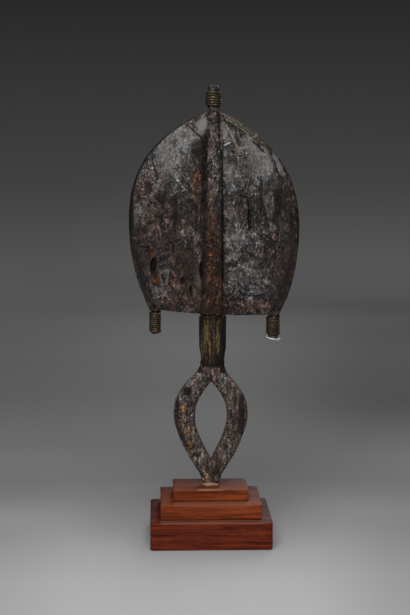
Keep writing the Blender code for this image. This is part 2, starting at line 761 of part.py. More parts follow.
def make_binding():
    """Brass strip folded over the upper right edge."""
    rows = []
    for step in range(10):
        height = BINDING_FROM + (BINDING_TO - BINDING_FROM) * step / 9
        x, out_x, out_z = edge_frame(height)
        bevel = -bevel_width(height, 1) * out_x
        row = []
        for reach in (-BINDING_BACK, bevel - 0.0004, bevel, bevel / 2, 0.0, BINDING_LIFT):
            across, level = x + out_x * min(reach, 0.0), min(height + out_z * min(reach, 0.0), HEAD_TOP)
            inside = min(across, head_edge(level, 1) - EDGE_INSET)
            row.append((x + out_x * reach, panel_y(inside, level) - BINDING_LIFT,
                        height + out_z * reach))
        for reach in (BINDING_LIFT, -BINDING_FRONT):
            across, level = x + out_x * min(reach, 0.0), min(height + out_z * min(reach, 0.0), HEAD_TOP)
            row.append((x + out_x * reach, face_y(across, level) + SKIN_LIFT,
                        height + out_z * reach))
        rows.append(row)
    thicken(piece("rim_binding", sheet("rim_binding", rows), "brass_wire"), BINDING_SHEET)


def back_line(points, lift, count):
    """Points on a smooth line over the back, from a few (x, height) points."""
    line = []
    for k in range(count):
        along = (len(points) - 1) * k / (count - 1)
        x = through([(n, p[0]) for n, p in enumerate(points)], along)
        height = through([(n, p[1]) for n, p in enumerate(points)], along)
        line.append((x, panel_y(x, height) - lift, height))
    return line


def strip_mesh(name, line, half_width, thickness):
    """Flat strip laid along a line over the back."""
    rings = []
    for k, (x, y, z) in enumerate(line):
        before, after = line[max(k - 1, 0)], line[min(k + 1, len(line) - 1)]
        run, rise = after[0] - before[0], after[2] - before[2]
        length = math.hypot(run, rise)
        side_x, side_z = half_width * rise / length, -half_width * run / length
        rings.append([(x - side_x, y, z - side_z), (x + side_x, y, z + side_z),
                      (x + side_x, y - thickness, z + side_z), (x - side_x, y - thickness, z - side_z)])
    return loft(name, rings)


def make_back_trim():
    """Strip, staple and wire that hang down the back, and the pin beside the rib."""
    strip = back_line(BACK_STRIP, BACK_STRIP_SHEET, 7)
    piece("back_strip", strip_mesh("back_strip", strip, BACK_STRIP_HALF, BACK_STRIP_SHEET), "strip_brass")
    for name, route, radius, count, finish in (
            ("back_staple", BACK_STAPLE, BACK_STAPLE_RADIUS, 4, "face_brass"),
            ("back_wire", BACK_WIRE, BACK_WIRE_RADIUS, 14, "copper_wire"),
            ("back_pin", BACK_PIN, BACK_PIN_RADIUS, 4, "pin_steel")):
        line = back_line(route, radius + BACK_CLEARANCE, count)
        piece(name, soften(tube(name, line, radius)), finish)


# Plinth and putty

def make_plinth():
    """Three boards stacked in steps. Gives the height of the plinth's top."""
    base = 0.0
    for name, width, depth, height, radius in PLINTH_BOARDS:
        work = bmesh.new()
        bmesh.ops.create_cube(work, size=1.0)
        bmesh.ops.scale(work, vec=(width, depth, height - GAP), verts=work.verts)
        bmesh.ops.translate(work, vec=(0.0, 0.0, base + (height - GAP) / 2), verts=work.verts)
        upright = [e for e in work.edges if abs(e.verts[0].co.z - e.verts[1].co.z) > height / 2]
        bmesh.ops.bevel(work, geom=upright, offset=radius, segments=4, profile=0.5, affect="EDGES")
        mesh = bpy.data.meshes.new(name)
        work.to_mesh(mesh)
        work.free()
        board = piece(name, mesh, "plinth_dark" if name == "plinth_lower" else "plinth_red")
        edge = board.modifiers.new("worn_edge", "BEVEL")
        edge.width = BOARD_EDGE
        edge.segments = 2
        edge.limit_method = "ANGLE"
        edge.angle_limit = math.radians(40.0)
        base += height
    return base


def make_putty(base):
    """Lumpy bed of putty that the foot stands on."""
    rings = []
    for height, grow in PUTTY_RINGS:
        ring = []
        for step in range(24):
            angle = math.radians(15.0 * step)
            lump = grow * (1.0 + 0.04 * math.sin(5 * angle + 400 * height) + 0.03 * math.cos(3 * angle))
            ring.append((PUTTY_X + PUTTY_HALF_X * lump * math.cos(angle),
                         PUTTY_HALF_Y * lump * math.sin(angle), base + height))
        rings.append(ring)
    piece("foot_putty", loft("foot_putty", rings), "putty")


clear_scene()
PIECES = collection(OBJECT_NAME)
GUIDES = collection("guides")
make_putty(make_plinth())
make_figure()
make_windings()
make_loose_turn()
make_sheath()
make_face_strips()
make_face_band()
make_eyes_and_nose()
make_binding()
make_back_trim()
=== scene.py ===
"""Looks of a leaf-headed wooden reliquary figure, seen from its carved back, on a stepped plinth.

Metres, +Z up. The wooden back looks towards -Y and the metal face towards +Y.
"""
import math

import bmesh
import bpy
import numpy as np
from mathutils import Matrix, Vector
from mathutils.geometry import interpolate_bezier


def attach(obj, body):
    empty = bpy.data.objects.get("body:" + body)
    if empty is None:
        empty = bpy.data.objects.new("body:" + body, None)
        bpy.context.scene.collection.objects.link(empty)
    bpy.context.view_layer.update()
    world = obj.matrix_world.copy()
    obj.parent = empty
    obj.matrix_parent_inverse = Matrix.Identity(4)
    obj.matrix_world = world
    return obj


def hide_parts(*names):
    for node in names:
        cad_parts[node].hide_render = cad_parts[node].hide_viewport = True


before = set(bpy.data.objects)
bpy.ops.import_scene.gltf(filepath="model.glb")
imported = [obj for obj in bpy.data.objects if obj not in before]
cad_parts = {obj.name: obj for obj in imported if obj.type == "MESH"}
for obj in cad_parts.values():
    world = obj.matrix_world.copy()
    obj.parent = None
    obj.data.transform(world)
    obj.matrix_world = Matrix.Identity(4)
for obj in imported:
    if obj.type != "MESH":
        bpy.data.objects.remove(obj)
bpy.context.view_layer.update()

# Plinth: three boards of reddish hardwood, stacked in steps and glued. The lowest is darker mahogany.
# The grain runs from side to side. The tops carry painted shade that deepens towards the back, and a pale
# band along the foot of the board above, partly wear and partly painted highlight.
GAP = 0.0003
PLINTH_BOARDS = (
    ("plinth_lower", 0.1230, 0.1050, 0.0283, 0.0035),
    ("plinth_middle", 0.1024, 0.0820, 0.0158, 0.0015),
    ("plinth_upper", 0.0766, 0.0525, 0.0119, 0.0012),
)
BOARD_EDGE = 0.0008
DARK_MAHOGANY = ((0.052, 0.008, 0.005), (0.190, 0.032, 0.013), (0.210, 0.085, 0.052))
RED_MAHOGANY = ((0.110, 0.021, 0.007), (0.290, 0.063, 0.019), (0.210, 0.080, 0.045))
UPPER_MAHOGANY = ((0.110, 0.021, 0.006), (0.310, 0.068, 0.019), (0.360, 0.200, 0.130))


def node(tree, kind, sockets=None, **settings):
    """A new node of a tree. sockets gives input values, or outputs of other nodes to link."""
    made = tree.nodes.new(kind)
    for key, value in settings.items():
        setattr(made, key, value)
    for key, value in (sockets or {}).items():
        if isinstance(value, bpy.types.NodeSocket):
            tree.links.new(value, made.inputs[key])
        else:
            made.inputs[key].default_value = value
    return made


def calc(tree, operation, first, second=0.0):
    return node(tree, "ShaderNodeMath", {0: first, 1: second}, operation=operation).outputs[0]


def between(tree, value, start, end, low=0.0, high=1.0):
    """Where a value lies between start and end, eased, as low to high."""
    made = node(tree, "ShaderNodeMapRange", {"Value": value, "From Min": start, "From Max": end,
                                             "To Min": low, "To Max": high},
                interpolation_type="SMOOTHSTEP")
    return made.outputs["Result"]


def layered(tree, share, under, over):
    """One colour over another, by share."""
    made = node(tree, "ShaderNodeMix", {0: share}, data_type="RGBA")
    for number, colour in ((6, under), (7, over)):
        if isinstance(colour, bpy.types.NodeSocket):
            tree.links.new(colour, made.inputs[number])
        else:
            made.inputs[number].default_value = (*colour, 1.0)
    return made.outputs[2]


def cloud(tree, size, seed, detail=3.0, twist=0.0):
    """Random pattern in the material's Object coordinates, its lumps size = (x, y, z) metres across."""
    where = tree.nodes.get("Texture Coordinate") or tree.nodes.new("ShaderNodeTexCoord")
    placed = node(tree, "ShaderNodeMapping", {"Vector": where.outputs["Object"],
                                              "Location": (seed * 7.3, seed * 3.1, seed * 5.7),
                                              "Scale": tuple(1.0 / length for length in size)})
    made = node(tree, "ShaderNodeTexNoise", {"Vector": placed.outputs[0], "Scale": 1.0, "Detail": detail,
                                             "Roughness": 0.6, "Distortion": twist})
    return made.outputs["Fac"]


def painted(tree, name):
    """A share that was painted on the mesh's points."""
    return node(tree, "ShaderNodeAttribute", attribute_name=name).outputs["Fac"]


def start_finish(name):
    finish = bpy.data.materials.new(name)
    finish.use_nodes = True
    return finish, finish.node_tree, finish.node_tree.nodes["Principled BSDF"]


def dress(tree, shader, colour, roughness, metallic=0.0, specular=0.5):
    """Gives a shader its colour and gloss. Roughness is a number or the output of a node."""
    tree.links.new(colour, shader.inputs["Base Color"])
    if isinstance(roughness, bpy.types.NodeSocket):
        tree.links.new(roughness, shader.inputs["Roughness"])
    else:
        shader.inputs["Roughness"].default_value = roughness
    shader.inputs["Metallic"].default_value = metallic
    shader.inputs["Specular IOR Level"].default_value = specular


def scaled(tree, colour, strength):
    """A colour made lighter or darker."""
    made = node(tree, "ShaderNodeVectorMath", {0: colour, "Scale": strength}, operation="SCALE")
    return made.outputs[0]


def raise_surface(tree, shader, height, depth, strength=1.0):
    """Relief finer than the mesh, depth metres from its lowest to its highest."""
    bump = node(tree, "ShaderNodeBump", {"Height": height, "Distance": depth, "Strength": strength})
    tree.links.new(bump.outputs[0], shader.inputs["Normal"])


def mahogany(name, tones, seed, top, front, upper):
    """Varnished hardwood: long streaks, fine dark pores, painted shade over the top that deepens towards
    the back, and a pale band where the next board stands, partly wear and partly painted highlight.

    top is the board's upper height and front its front's Y. upper is the pale part's half width, front's Y
    and softness.
    """
    finish, tree, shader = start_finish(name)
    dark, light, worn = tones
    streaks = cloud(tree, (0.045, 0.0030, 0.0019), seed, 4.0, 0.6)
    bands = cloud(tree, (0.110, 0.010, 0.0060), seed + 1, 3.0, 0.5)
    pores = cloud(tree, (0.0075, 0.0006, 0.0006), seed + 2, 2.0)
    blotches = cloud(tree, (0.020, 0.012, 0.012), seed + 3)
    where = tree.nodes["Texture Coordinate"].outputs["Object"]
    x, y, z = node(tree, "ShaderNodeSeparateXYZ", {0: where}).outputs
    on_top = between(tree, z, top - 0.0006, top - 0.0002)
    share = calc(tree, "ADD", between(tree, streaks, 0.40, 0.62, 0.0, 0.6),
                 between(tree, bands, 0.40, 0.60, 0.0, 0.5))
    colour = layered(tree, share, dark, light)
    colour = layered(tree, between(tree, pores, 0.58, 0.72, 0.0, 0.55), colour, [v * 0.45 for v in dark])
    colour = layered(tree, between(tree, blotches, 0.56, 0.74, 0.0, 0.35), colour, [v * 1.5 for v in light])
    # Painted shade over the top, darker towards the back
    back = between(tree, y, front, -front, 0.35, 0.90)
    colour = layered(tree, calc(tree, "MULTIPLY", on_top, back), colour, [v * 0.45 for v in dark])
    # Pale band on the top in front of the board above: partly wear, partly painted highlight
    half, edge, soft = upper
    pale = calc(tree, "MULTIPLY", between(tree, calc(tree, "ABSOLUTE", x), half + soft, half - soft),
                between(tree, y, edge + soft, edge - soft))
    pale = calc(tree, "MULTIPLY", pale, between(tree, z, top - 0.0014, top - 0.0004))
    pale = calc(tree, "MULTIPLY", pale, between(tree, bands, 0.34, 0.60, 0.35, 0.9))
    colour = layered(tree, pale, colour, worn)
    dress(tree, shader, colour, between(tree, blotches, 0.3, 0.7, 0.38, 0.55), specular=0.10)
    raise_surface(tree, shader, calc(tree, "ADD", pores, streaks), 0.00018, 0.5)
    return finish


def loft(name, rings, close=True):
    """Closed mesh through rings of equally many points, with its two ends filled."""
    rings = np.asarray(rings, float)
    rows, count = rings.shape[:2]
    index = np.arange(rows * count).reshape(rows, count)
    after = np.roll(index, -1, axis=1)
    faces = np.stack((index[:-1], after[:-1], after[1:], index[1:]), axis=-1).reshape(-1, 4).tolist()
    if close:
        faces.append(index[0][::-1].tolist())
        faces.append(index[-1].tolist())
    mesh = bpy.data.meshes.new(name)
    mesh.from_pydata(rings.reshape(-1, 3).tolist(), [], faces)
    mesh.update()
    return mesh


def paint(mesh, name, values):
    """Stores one share for each point of a mesh, for its material to read."""
    mesh.attributes.new(name, "FLOAT", "POINT").data.foreach_set("value", np.asarray(values, np.float32))


def smooth(mesh, degrees):
    mesh.shade_smooth()
    mesh.set_sharp_from_angle(angle=math.radians(degrees))


def set_in_place(name, mesh, finish, slot, *nodes):
    """Makes a finished mesh a piece of the figure that stands for CAD nodes."""
    mesh.materials.clear()
    mesh.materials.append(finish)
    made = bpy.data.objects.new(name, mesh)
    bpy.context.scene.collection.objects.link(made)
    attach(made, "root")
    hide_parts(*nodes)
    return made


def board_ring(size, corner, inset, height):
    """Rectangle with rounded corners, drawn in by inset."""
    radius = max(corner - inset, 0.0003)
    ring = []
    for side_x, side_y, turn in ((1, 1, 0.0), (-1, 1, 90.0), (-1, -1, 180.0), (1, -1, 270.0)):
        for step in range(7):
            angle = math.radians(turn + 15.0 * step)
            ring.append((side_x * (size[0] / 2 - inset - radius) + radius * math.cos(angle),
                         side_y * (size[1] / 2 - inset - radius) + radius * math.sin(angle), height))
    return ring


def board_mesh(name, size, corner, low, high):
    """One board with rounded edges."""
    profile = [(0.0030, 0.0)]
    for step in range(5):
        angle = math.radians(22.5 * step)
        profile.append((BOARD_EDGE * (1.0 - math.sin(angle)), BOARD_EDGE * (1.0 - math.cos(angle))))
    profile.append((0.0, 0.0024))
    rings = [board_ring(size, corner, inset, low + rise) for inset, rise in profile]
    rings += [board_ring(size, corner, inset, high - rise) for inset, rise in reversed(profile)]
    mesh = loft(name, rings)
    smooth(mesh, 40.0)
    return mesh


plinth_top = 0.0
for board, tones, seed, upper, slot in (
        (PLINTH_BOARDS[0], DARK_MAHOGANY, 1.0, (0.0512, -0.0410, 0.0008), "plinth_dark"),
        (PLINTH_BOARDS[1], RED_MAHOGANY, 2.0, (0.0383, -0.0262, 0.0008), "plinth_red"),
        (PLINTH_BOARDS[2], UPPER_MAHOGANY, 3.0, (0.0130, -0.0215, 0.0050), "plinth_red")):
    name, width, depth, height, corner = board
    low, plinth_top = plinth_top, plinth_top + height
    mesh = board_mesh(name + "_board", (width, depth), corner, low, plinth_top - GAP)
    finish = mahogany(name + "_mahogany", tones, seed, plinth_top - GAP, -depth / 2, upper)
    set_in_place(name + "_board", mesh, finish, slot, name)

# Putty: a lumpy bed of pinkish beige putty, pressed round the foot where it is let into the plinth.
PUTTY_MIDDLE_X = 0.0007
PUTTY_HALF = (0.0092, 0.0100)
PUTTY_HEIGHT = 0.0037
PUTTY_BEIGE = (0.400, 0.270, 0.170)
PUTTY_BROWN = (0.180, 0.090, 0.045)


def lumps(points, size, seed):
    """Smooth random field from -1 to 1 at points, its lumps size = (x, y, z) metres across."""
    table = np.random.default_rng(seed).uniform(-1.0, 1.0, (32, 32, 32))
    place = points / np.asarray(size) + 500.0
    cell = np.floor(place).astype(int)
    share = place - cell
    share = share * share * (3.0 - 2.0 * share)
    field = np.zeros(len(points))
    for corner in range(8):
        step = np.array((corner & 1, corner >> 1 & 1, corner >> 2 & 1))
        weight = np.prod(np.where(step, share, 1.0 - share), axis=1)
        at = (cell + step) % 32
        field += weight * table[at[:, 0], at[:, 1], at[:, 2]]
    return field


def rough_field(points, size, seed, octaves=3):
    """Lumps with ever finer lumps on them."""
    field = np.zeros(len(points))
    for k in range(octaves):
        field += lumps(points, np.asarray(size) / 2**k, seed + k) / 2**k
    return field / (2.0 - 0.5**(octaves - 1))


def putty_mesh():
    rings = []
    for share in np.linspace(0.0, 1.0, 12):
        spread = 1.05 - 0.22 * share**2.5
        angles = np.linspace(0.0, 2.0 * math.pi, 72, endpoint=False)
        ring = np.stack((PUTTY_HALF[0] * spread * np.cos(angles) + PUTTY_MIDDLE_X,
                         PUTTY_HALF[1] * spread * np.sin(angles),
                         np.full(72, plinth_top + PUTTY_HEIGHT * share)), axis=1)
        grow = rough_field(ring, (0.0040, 0.0040, 0.0030), 11) * 0.13
        ring[:, 0] = PUTTY_MIDDLE_X + (ring[:, 0] - PUTTY_MIDDLE_X) * (1.0 + grow)
        ring[:, 1] *= 1.0 + grow
        if 0.0 < share < 1.0:
            ring[:, 2] += rough_field(ring, (0.0025, 0.0025, 0.0025), 17) * 0.0007
        rings.append(ring)
    mesh = loft("foot_bed", rings)
    smooth(mesh, 60.0)
    return mesh


def putty_finish():
    finish, tree, shader = start_finish("pale_putty")
    crumbs = cloud(tree, (0.0016, 0.0016, 0.0013), 4.0)
    stains = cloud(tree, (0.0050, 0.0050, 0.0030), 5.0)
    colour = layered(tree, between(tree, stains, 0.42, 0.66, 0.0, 0.8), PUTTY_BEIGE, PUTTY_BROWN)
    colour = layered(tree, between(tree, crumbs, 0.56, 0.70, 0.0, 0.7), colour, PUTTY_BROWN)
    dress(tree, shader, colour, 0.85)
    raise_surface(tree, shader, crumbs, 0.0012)
    return finish


set_in_place("foot_bed", putty_mesh(), putty_finish(), "putty", "foot_putty")

# Carving: foot, open lozenge, neck, leaf-shaped head with its rib, topknot and pegs, all one piece of wood.
# It is old hardwood under a dark crust of smoke and dust that has flaked, cracked and bloomed pale.
STEM_OUTLINE = (
    (0.0600, 0.0096), (0.0650, 0.0103), (0.0740, 0.0153), (0.0920, 0.0258),
    (0.1120, 0.0343), (0.1330, 0.0380), (0.1480, 0.0345), (0.1630, 0.0242),
    (0.1680, 0.0200), (0.1740, 0.0151), (0.1800, 0.0126), (0.1840, 0.0113),
    (0.2000, 0.0125), (0.2312, 0.0127),
)
FOOT_HALF_DEPTH = 0.0095
LOZENGE_HALF_DEPTH = 0.0110
NECK_HALF_DEPTH = 0.0112
LOZENGE_CORNER = 0.0048
CHIN_TOP = 0.2440
HOLE_OUTLINE = (
    (0.0822, 0.0003), (0.0925, 0.0054), (0.1050, 0.0116), (0.1180, 0.0156),
    (0.1310, 0.0164), (0.1430, 0.0140), (0.1550, 0.0074), (0.1640, 0.0004),
)
HOLE_CENTRE_X = 0.0010
HOLE_CHAMFER = 0.0030
HEAD_BOTTOM = 0.2326
HEAD_WIDEST = 0.3220
HEAD_TOP = 0.4365
HEAD_HALF = 0.08765
LOWER_ARC = 0.2090
SHOULDER_HALF = 0.0098
SIDE_HANDLE = 0.0560
SHOULDER_HANDLE = (0.0530, 0.0250)
BOTTOM_TILT = 0.0032
BOTTOM_ARC = 0.0021
FACE_Y = 0.0040
DISH = 0.0200
TOP_CURL = 0.0160
CURL_START = 0.3000
THICK_MIDDLE = 0.0100
THICK_SIDE = 0.0065
THICK_EDGE = 0.0036
RIB_HEIGHT = 0.0068
GROOVE_DEPTH = 0.0020
TOPKNOT_PLACE = (0.0037, 0.0125)
TOPKNOT_CORE = 0.0060
TOPKNOT_WIRE = (0.4423, 0.4588)
LEFT_PEG = (-0.0560, 0.0096, 0.2115, 0.0042, 0.2388)
RIGHT_PEG = (0.0650, 0.0096, 0.2060, 0.0051, 0.2345)
LEFT_PEG_WIRE = (0.2128, 0.2350)
RIGHT_PEG_WIRE = (0.2098, 0.2300)
BINDING_REBATE = 0.0012
REBATE_EXTRA = 0.0015

HEAD_ROWS = 232
BACK_COLUMNS = 236
FACE_COLUMNS = 44

# Patches of the back: middle x, middle height, half width, half height, lean in degrees, strength
CHALKY = (
    (-0.0344, 0.4021, 0.0202, 0.0222, 12, 0.95), (-0.0425, 0.3758, 0.0202, 0.0202, 0, 0.75),
    (-0.0597, 0.3925, 0.0024, 0.0030, 0, 1.40), (-0.0698, 0.3758, 0.0051, 0.0141, 18, 0.60),
    (-0.0713, 0.3344, 0.0056, 0.0101, 0, 0.75), (-0.0627, 0.3107, 0.0061, 0.0071, 0, 0.45),
    (-0.0455, 0.2748, 0.0046, 0.0071, 0, 0.80), (-0.0607, 0.3375, 0.0101, 0.0162, 0, 0.30),
    (-0.0501, 0.2556, 0.0091, 0.0096, 0, 0.75), (-0.0101, 0.2880, 0.0015, 0.0015, 0, 1.40),
    (-0.0142, 0.3082, 0.0020, 0.0059, 10, 1.00), (-0.0127, 0.2688, 0.0049, 0.0212, 0, 0.35),
    (-0.0258, 0.3152, 0.0051, 0.0024, 20, 0.60), (-0.0197, 0.2930, 0.0061, 0.0024, -15, 0.60),
    (-0.0086, 0.4223, 0.0061, 0.0101, 25, 1.00), (-0.0202, 0.3324, 0.0101, 0.0242, 0, 0.25),
    (-0.0344, 0.2920, 0.0101, 0.0182, 0, 0.20), (0.0425, 0.4041, 0.0071, 0.0152, -12, 1.10),
    (0.0562, 0.3794, 0.0121, 0.0182, -15, 1.10), (0.0703, 0.3824, 0.0030, 0.0131, -29, 1.35),
    (0.0213, 0.3678, 0.0096, 0.0242, 0, 0.75), (0.0344, 0.3779, 0.0162, 0.0242, 0, 0.60),
    (0.0612, 0.3435, 0.0051, 0.0121, 0, 0.75), (0.0304, 0.4082, 0.0081, 0.0182, -25, 0.50),
    (0.0638, 0.3198, 0.0036, 0.0042, 0, 1.10), (0.0263, 0.3122, 0.0132, 0.0152, 0, 0.75),
    (0.0243, 0.2925, 0.0096, 0.0051, -35, 1.00), (0.0223, 0.2799, 0.0071, 0.0024, 0, 0.70),
    (0.0455, 0.3122, 0.0121, 0.0202, 0, 0.50), (0.0405, 0.2667, 0.0223, 0.0222, 0, 0.60),
    (0.0759, 0.3122, 0.0051, 0.0303, 0, 0.25), (0.0045, 0.3900, 0.0060, 0.0420, 0, 0.50),
    (0.0220, 0.3400, 0.0090, 0.0300, 0, 0.45),
)
RUSTY = (
    (-0.0132, 0.3680, 0.0052, 0.0130, 0, 0.95), (-0.0243, 0.3829, 0.0071, 0.0121, 10, 0.45),
    (-0.0590, 0.2950, 0.0034, 0.0070, 0, 1.00), (-0.0557, 0.2683, 0.0045, 0.0070, 0, 1.10),
    (-0.0369, 0.2758, 0.0032, 0.0059, 0, 0.50), (-0.0378, 0.2607, 0.0030, 0.0030, 0, 0.45),
    (-0.0194, 0.2566, 0.0040, 0.0081, 0, 0.60), (0.0010, 0.2849, 0.0070, 0.0500, 0, 0.58),
    (0.0030, 0.3274, 0.0036, 0.0042, 0, 0.90), (0.0020, 0.3880, 0.0051, 0.0404, 0, 0.20),
    (0.0213, 0.2420, 0.0101, 0.0091, 0, 0.50), (-0.0278, 0.2664, 0.0043, 0.0063, 0, 0.45),
    (-0.0304, 0.2465, 0.0223, 0.0121, 0, 0.40), (0.0769, 0.2768, 0.0101, 0.0343, 12, 0.30),
    (-0.0607, 0.3122, 0.0142, 0.0404, 0, 0.28), (-0.0708, 0.3627, 0.0081, 0.0202, 15, 0.35),
    (0.0405, 0.2405, 0.0202, 0.0081, 0, 0.35), (-0.0202, 0.3425, 0.0101, 0.0202, 0, 0.30),
    (-0.0344, 0.2617, 0.0162, 0.0162, 0, 0.40), (-0.0280, 0.2860, 0.0130, 0.0220, 0, 0.42),
    (-0.0010, 0.2900, 0.0030, 0.0450, 0, 0.85), (0.0070, 0.2650, 0.0022, 0.0250, 0, 0.70),
    (-0.0140, 0.3560, 0.0040, 0.0120, 0, 0.60),
)
# Dark patches: smoke black, with painted shade in some hollows and along the rims
SOOT_AND_SHADE_PATCHES = (
    (-0.0111, 0.3991, 0.0086, 0.0101, 0, 0.80), (-0.0253, 0.3763, 0.0061, 0.0111, 0, 0.45),
    (-0.0069, 0.3738, 0.0030, 0.0253, 0, 0.90), (-0.0056, 0.3960, 0.0024, 0.0036, 0, 1.00),
    (-0.0617, 0.3607, 0.0040, 0.0067, 0, 0.80), (-0.0609, 0.3253, 0.0045, 0.0026, 0, 0.80),
    (-0.0354, 0.3314, 0.0032, 0.0212, 0, 0.80), (-0.0380, 0.3001, 0.0022, 0.0121, 0, 0.65),
    (0.0197, 0.3905, 0.0043, 0.0053, 0, 0.60), (0.0519, 0.3536, 0.0024, 0.0222, 0, 0.75),
    (0.0693, 0.3450, 0.0045, 0.0136, 0, 0.85), (0.0506, 0.4056, 0.0032, 0.0028, 0, 0.80),
    (0.0400, 0.3344, 0.0040, 0.0152, 0, 0.60), (-0.0799, 0.3425, 0.0026, 0.0404, 0, 0.70),
    (-0.0719, 0.2789, 0.0026, 0.0303, -14, 0.55), (0.0835, 0.3223, 0.0032, 0.0404, 0, 0.50),
    (-0.0051, 0.3173, 0.0026, 0.0606, 2, 0.60), (0.0121, 0.3173, 0.0016, 0.0757, 0, 0.75),
    (-0.0579, 0.2814, 0.0034, 0.0101, 5, 0.80), (0.0536, 0.2819, 0.0071, 0.0121, 30, 0.40),
    (-0.0233, 0.3021, 0.0030, 0.0141, 0, 0.40), (-0.0506, 0.3354, 0.0051, 0.0182, 0, 0.30),
    (0.0627, 0.3698, 0.0025, 0.0162, 20, 0.50), (0.0374, 0.3577, 0.0025, 0.0101, 0, 0.50),
    (-0.0180, 0.3350, 0.0090, 0.0200, 0, 0.58), (-0.0220, 0.2850, 0.0100, 0.0250, 0, 0.52),
    (-0.0450, 0.3000, 0.0080, 0.0150, 0, 0.38), (0.0640, 0.3560, 0.0110, 0.0110, 0, 0.45),
    (-0.0480, 0.3480, 0.0100, 0.0110, 0, 0.35), (-0.0320, 0.2700, 0.0080, 0.0120, 0, 0.30),
    (0.0560, 0.2990, 0.0080, 0.0120, 0, 0.35), (0.0010, 0.3050, 0.0050, 0.0060, 0, 0.45),
    (0.0050, 0.2720, 0.0040, 0.0060, 0, 0.45), (-0.0030, 0.2560, 0.0040, 0.0060, 0, 0.50),
)
WORN_SMOOTH = (
    (-0.0086, 0.4223, 0.0059, 0.0101, 25, 1.00), (-0.0668, 0.2859, 0.0038, 0.0152, -12, 0.90),
    (-0.0127, 0.2688, 0.0049, 0.0212, 0, 0.80), (0.0769, 0.2768, 0.0101, 0.0343, 12, 0.90),
    (0.0688, 0.2465, 0.0091, 0.0101, 0, 0.60), (-0.0792, 0.3324, 0.0024, 0.0364, 0, 0.90),
    (-0.0719, 0.2768, 0.0030, 0.0343, -14, 0.90),
)
BLOOMED = (
    (-0.0260, 0.4130, 0.0160, 0.0120, 30, 0.95), (-0.0420, 0.3930, 0.0150, 0.0170, 0, 0.75),
    (-0.0300, 0.3800, 0.0130, 0.0120, 0, 0.45), (-0.0086, 0.4240, 0.0070, 0.0090, 25, 0.80),
    (0.0560, 0.3820, 0.0120, 0.0140, -15, 0.80), (0.0703, 0.3824, 0.0028, 0.0131, -29, 0.90),
    (0.0430, 0.4030, 0.0100, 0.0150, -25, 0.90), (0.0610, 0.3610, 0.0060, 0.0120, 0, 0.45),
    (0.0213, 0.3720, 0.0070, 0.0200, 0, 0.45), (0.0263, 0.3080, 0.0090, 0.0130, 20, 0.60),
    (0.0190, 0.3980, 0.0060, 0.0160, 0, 0.50), (0.0330, 0.3860, 0.0060, 0.0180, 0, 0.45),
    (0.0243, 0.2925, 0.0070, 0.0040, -35, 0.70), (-0.0698, 0.3400, 0.0050, 0.0080, 0, 0.45),
    (0.0640, 0.3200, 0.0036, 0.0050, 0, 0.50), (-0.0500, 0.2540, 0.0080, 0.0080, 0, 0.30),
    (0.0480, 0.3700, 0.0150, 0.0220, 0, 0.45), (0.0240, 0.3250, 0.0080, 0.0200, 0, 0.35),
    (0.0420, 0.2680, 0.0240, 0.0200, 0, 0.42), (0.0160, 0.4160, 0.0050, 0.0130, -8, 0.85),
    (0.0540, 0.3930, 0.0080, 0.0120, -30, 0.60), (0.0480, 0.3840, 0.0180, 0.0160, 0, 0.60),
)
PINKISH = (
    (-0.0620, 0.3680, 0.0100, 0.0160, 15, 0.90), (-0.0260, 0.3200, 0.0110, 0.0090, 0, 0.65),
    (-0.0580, 0.3200, 0.0140, 0.0110, 0, 0.40), (-0.0460, 0.2560, 0.0150, 0.0100, 20, 0.75),
    (0.0420, 0.2430, 0.0200, 0.0060, 0, 0.90), (-0.0200, 0.4180, 0.0110, 0.0070, 30, 0.50),
    (0.0020, 0.4050, 0.0070, 0.0160, 0, 0.60), (0.0020, 0.3600, 0.0070, 0.0250, 0, 0.60),
    (-0.0640, 0.3450, 0.0100, 0.0160, 0, 0.35), (-0.0150, 0.3420, 0.0080, 0.0160, 0, 0.25),
    (0.0330, 0.4180, 0.0080, 0.0080, 0, 0.50), (-0.0330, 0.2900, 0.0150, 0.0120, 0, 0.10),
    (0.0660, 0.2900, 0.0080, 0.0200, 10, 0.40),
)
# Patches of the lozenge and foot, in the same way
STEM_GOLD = (
    (-0.0279, 0.1372, 0.0036, 0.0050, 0, 1.20), (-0.0279, 0.1236, 0.0041, 0.0062, 0, 0.55),
    (-0.0224, 0.1138, 0.0041, 0.0073, 0, 0.80), (-0.0216, 0.0977, 0.0022, 0.0054, 0, 1.60),
    (-0.0040, 0.0658, 0.0046, 0.0083, 0, 0.80), (-0.0259, 0.1283, 0.0041, 0.0165, 0, 0.50),
)
STEM_CHALKY = (
    (-0.0255, 0.1471, 0.0041, 0.0045, 0, 1.00), (-0.0157, 0.1533, 0.0051, 0.0082, 20, 0.90),
    (-0.0114, 0.0947, 0.0031, 0.0073, -20, 0.90), (-0.0218, 0.1634, 0.0041, 0.0051, 0, 0.70),
    (-0.0075, 0.1685, 0.0051, 0.0051, 0, 0.60), (0.0130, 0.1655, 0.0041, 0.0057, -25, 1.00),
    (0.0198, 0.1518, 0.0041, 0.0093, -15, 0.95), (0.0150, 0.0959, 0.0056, 0.0094, 0, 0.90),
    (-0.0137, 0.1200, 0.0020, 0.0186, -18, 0.60), (0.0139, 0.1146, 0.0031, 0.0145, 18, 0.55),
    (0.0261, 0.1405, 0.0020, 0.0103, 0, 0.40), (-0.0075, 0.0815, 0.0041, 0.0083, 0, 0.50),
)
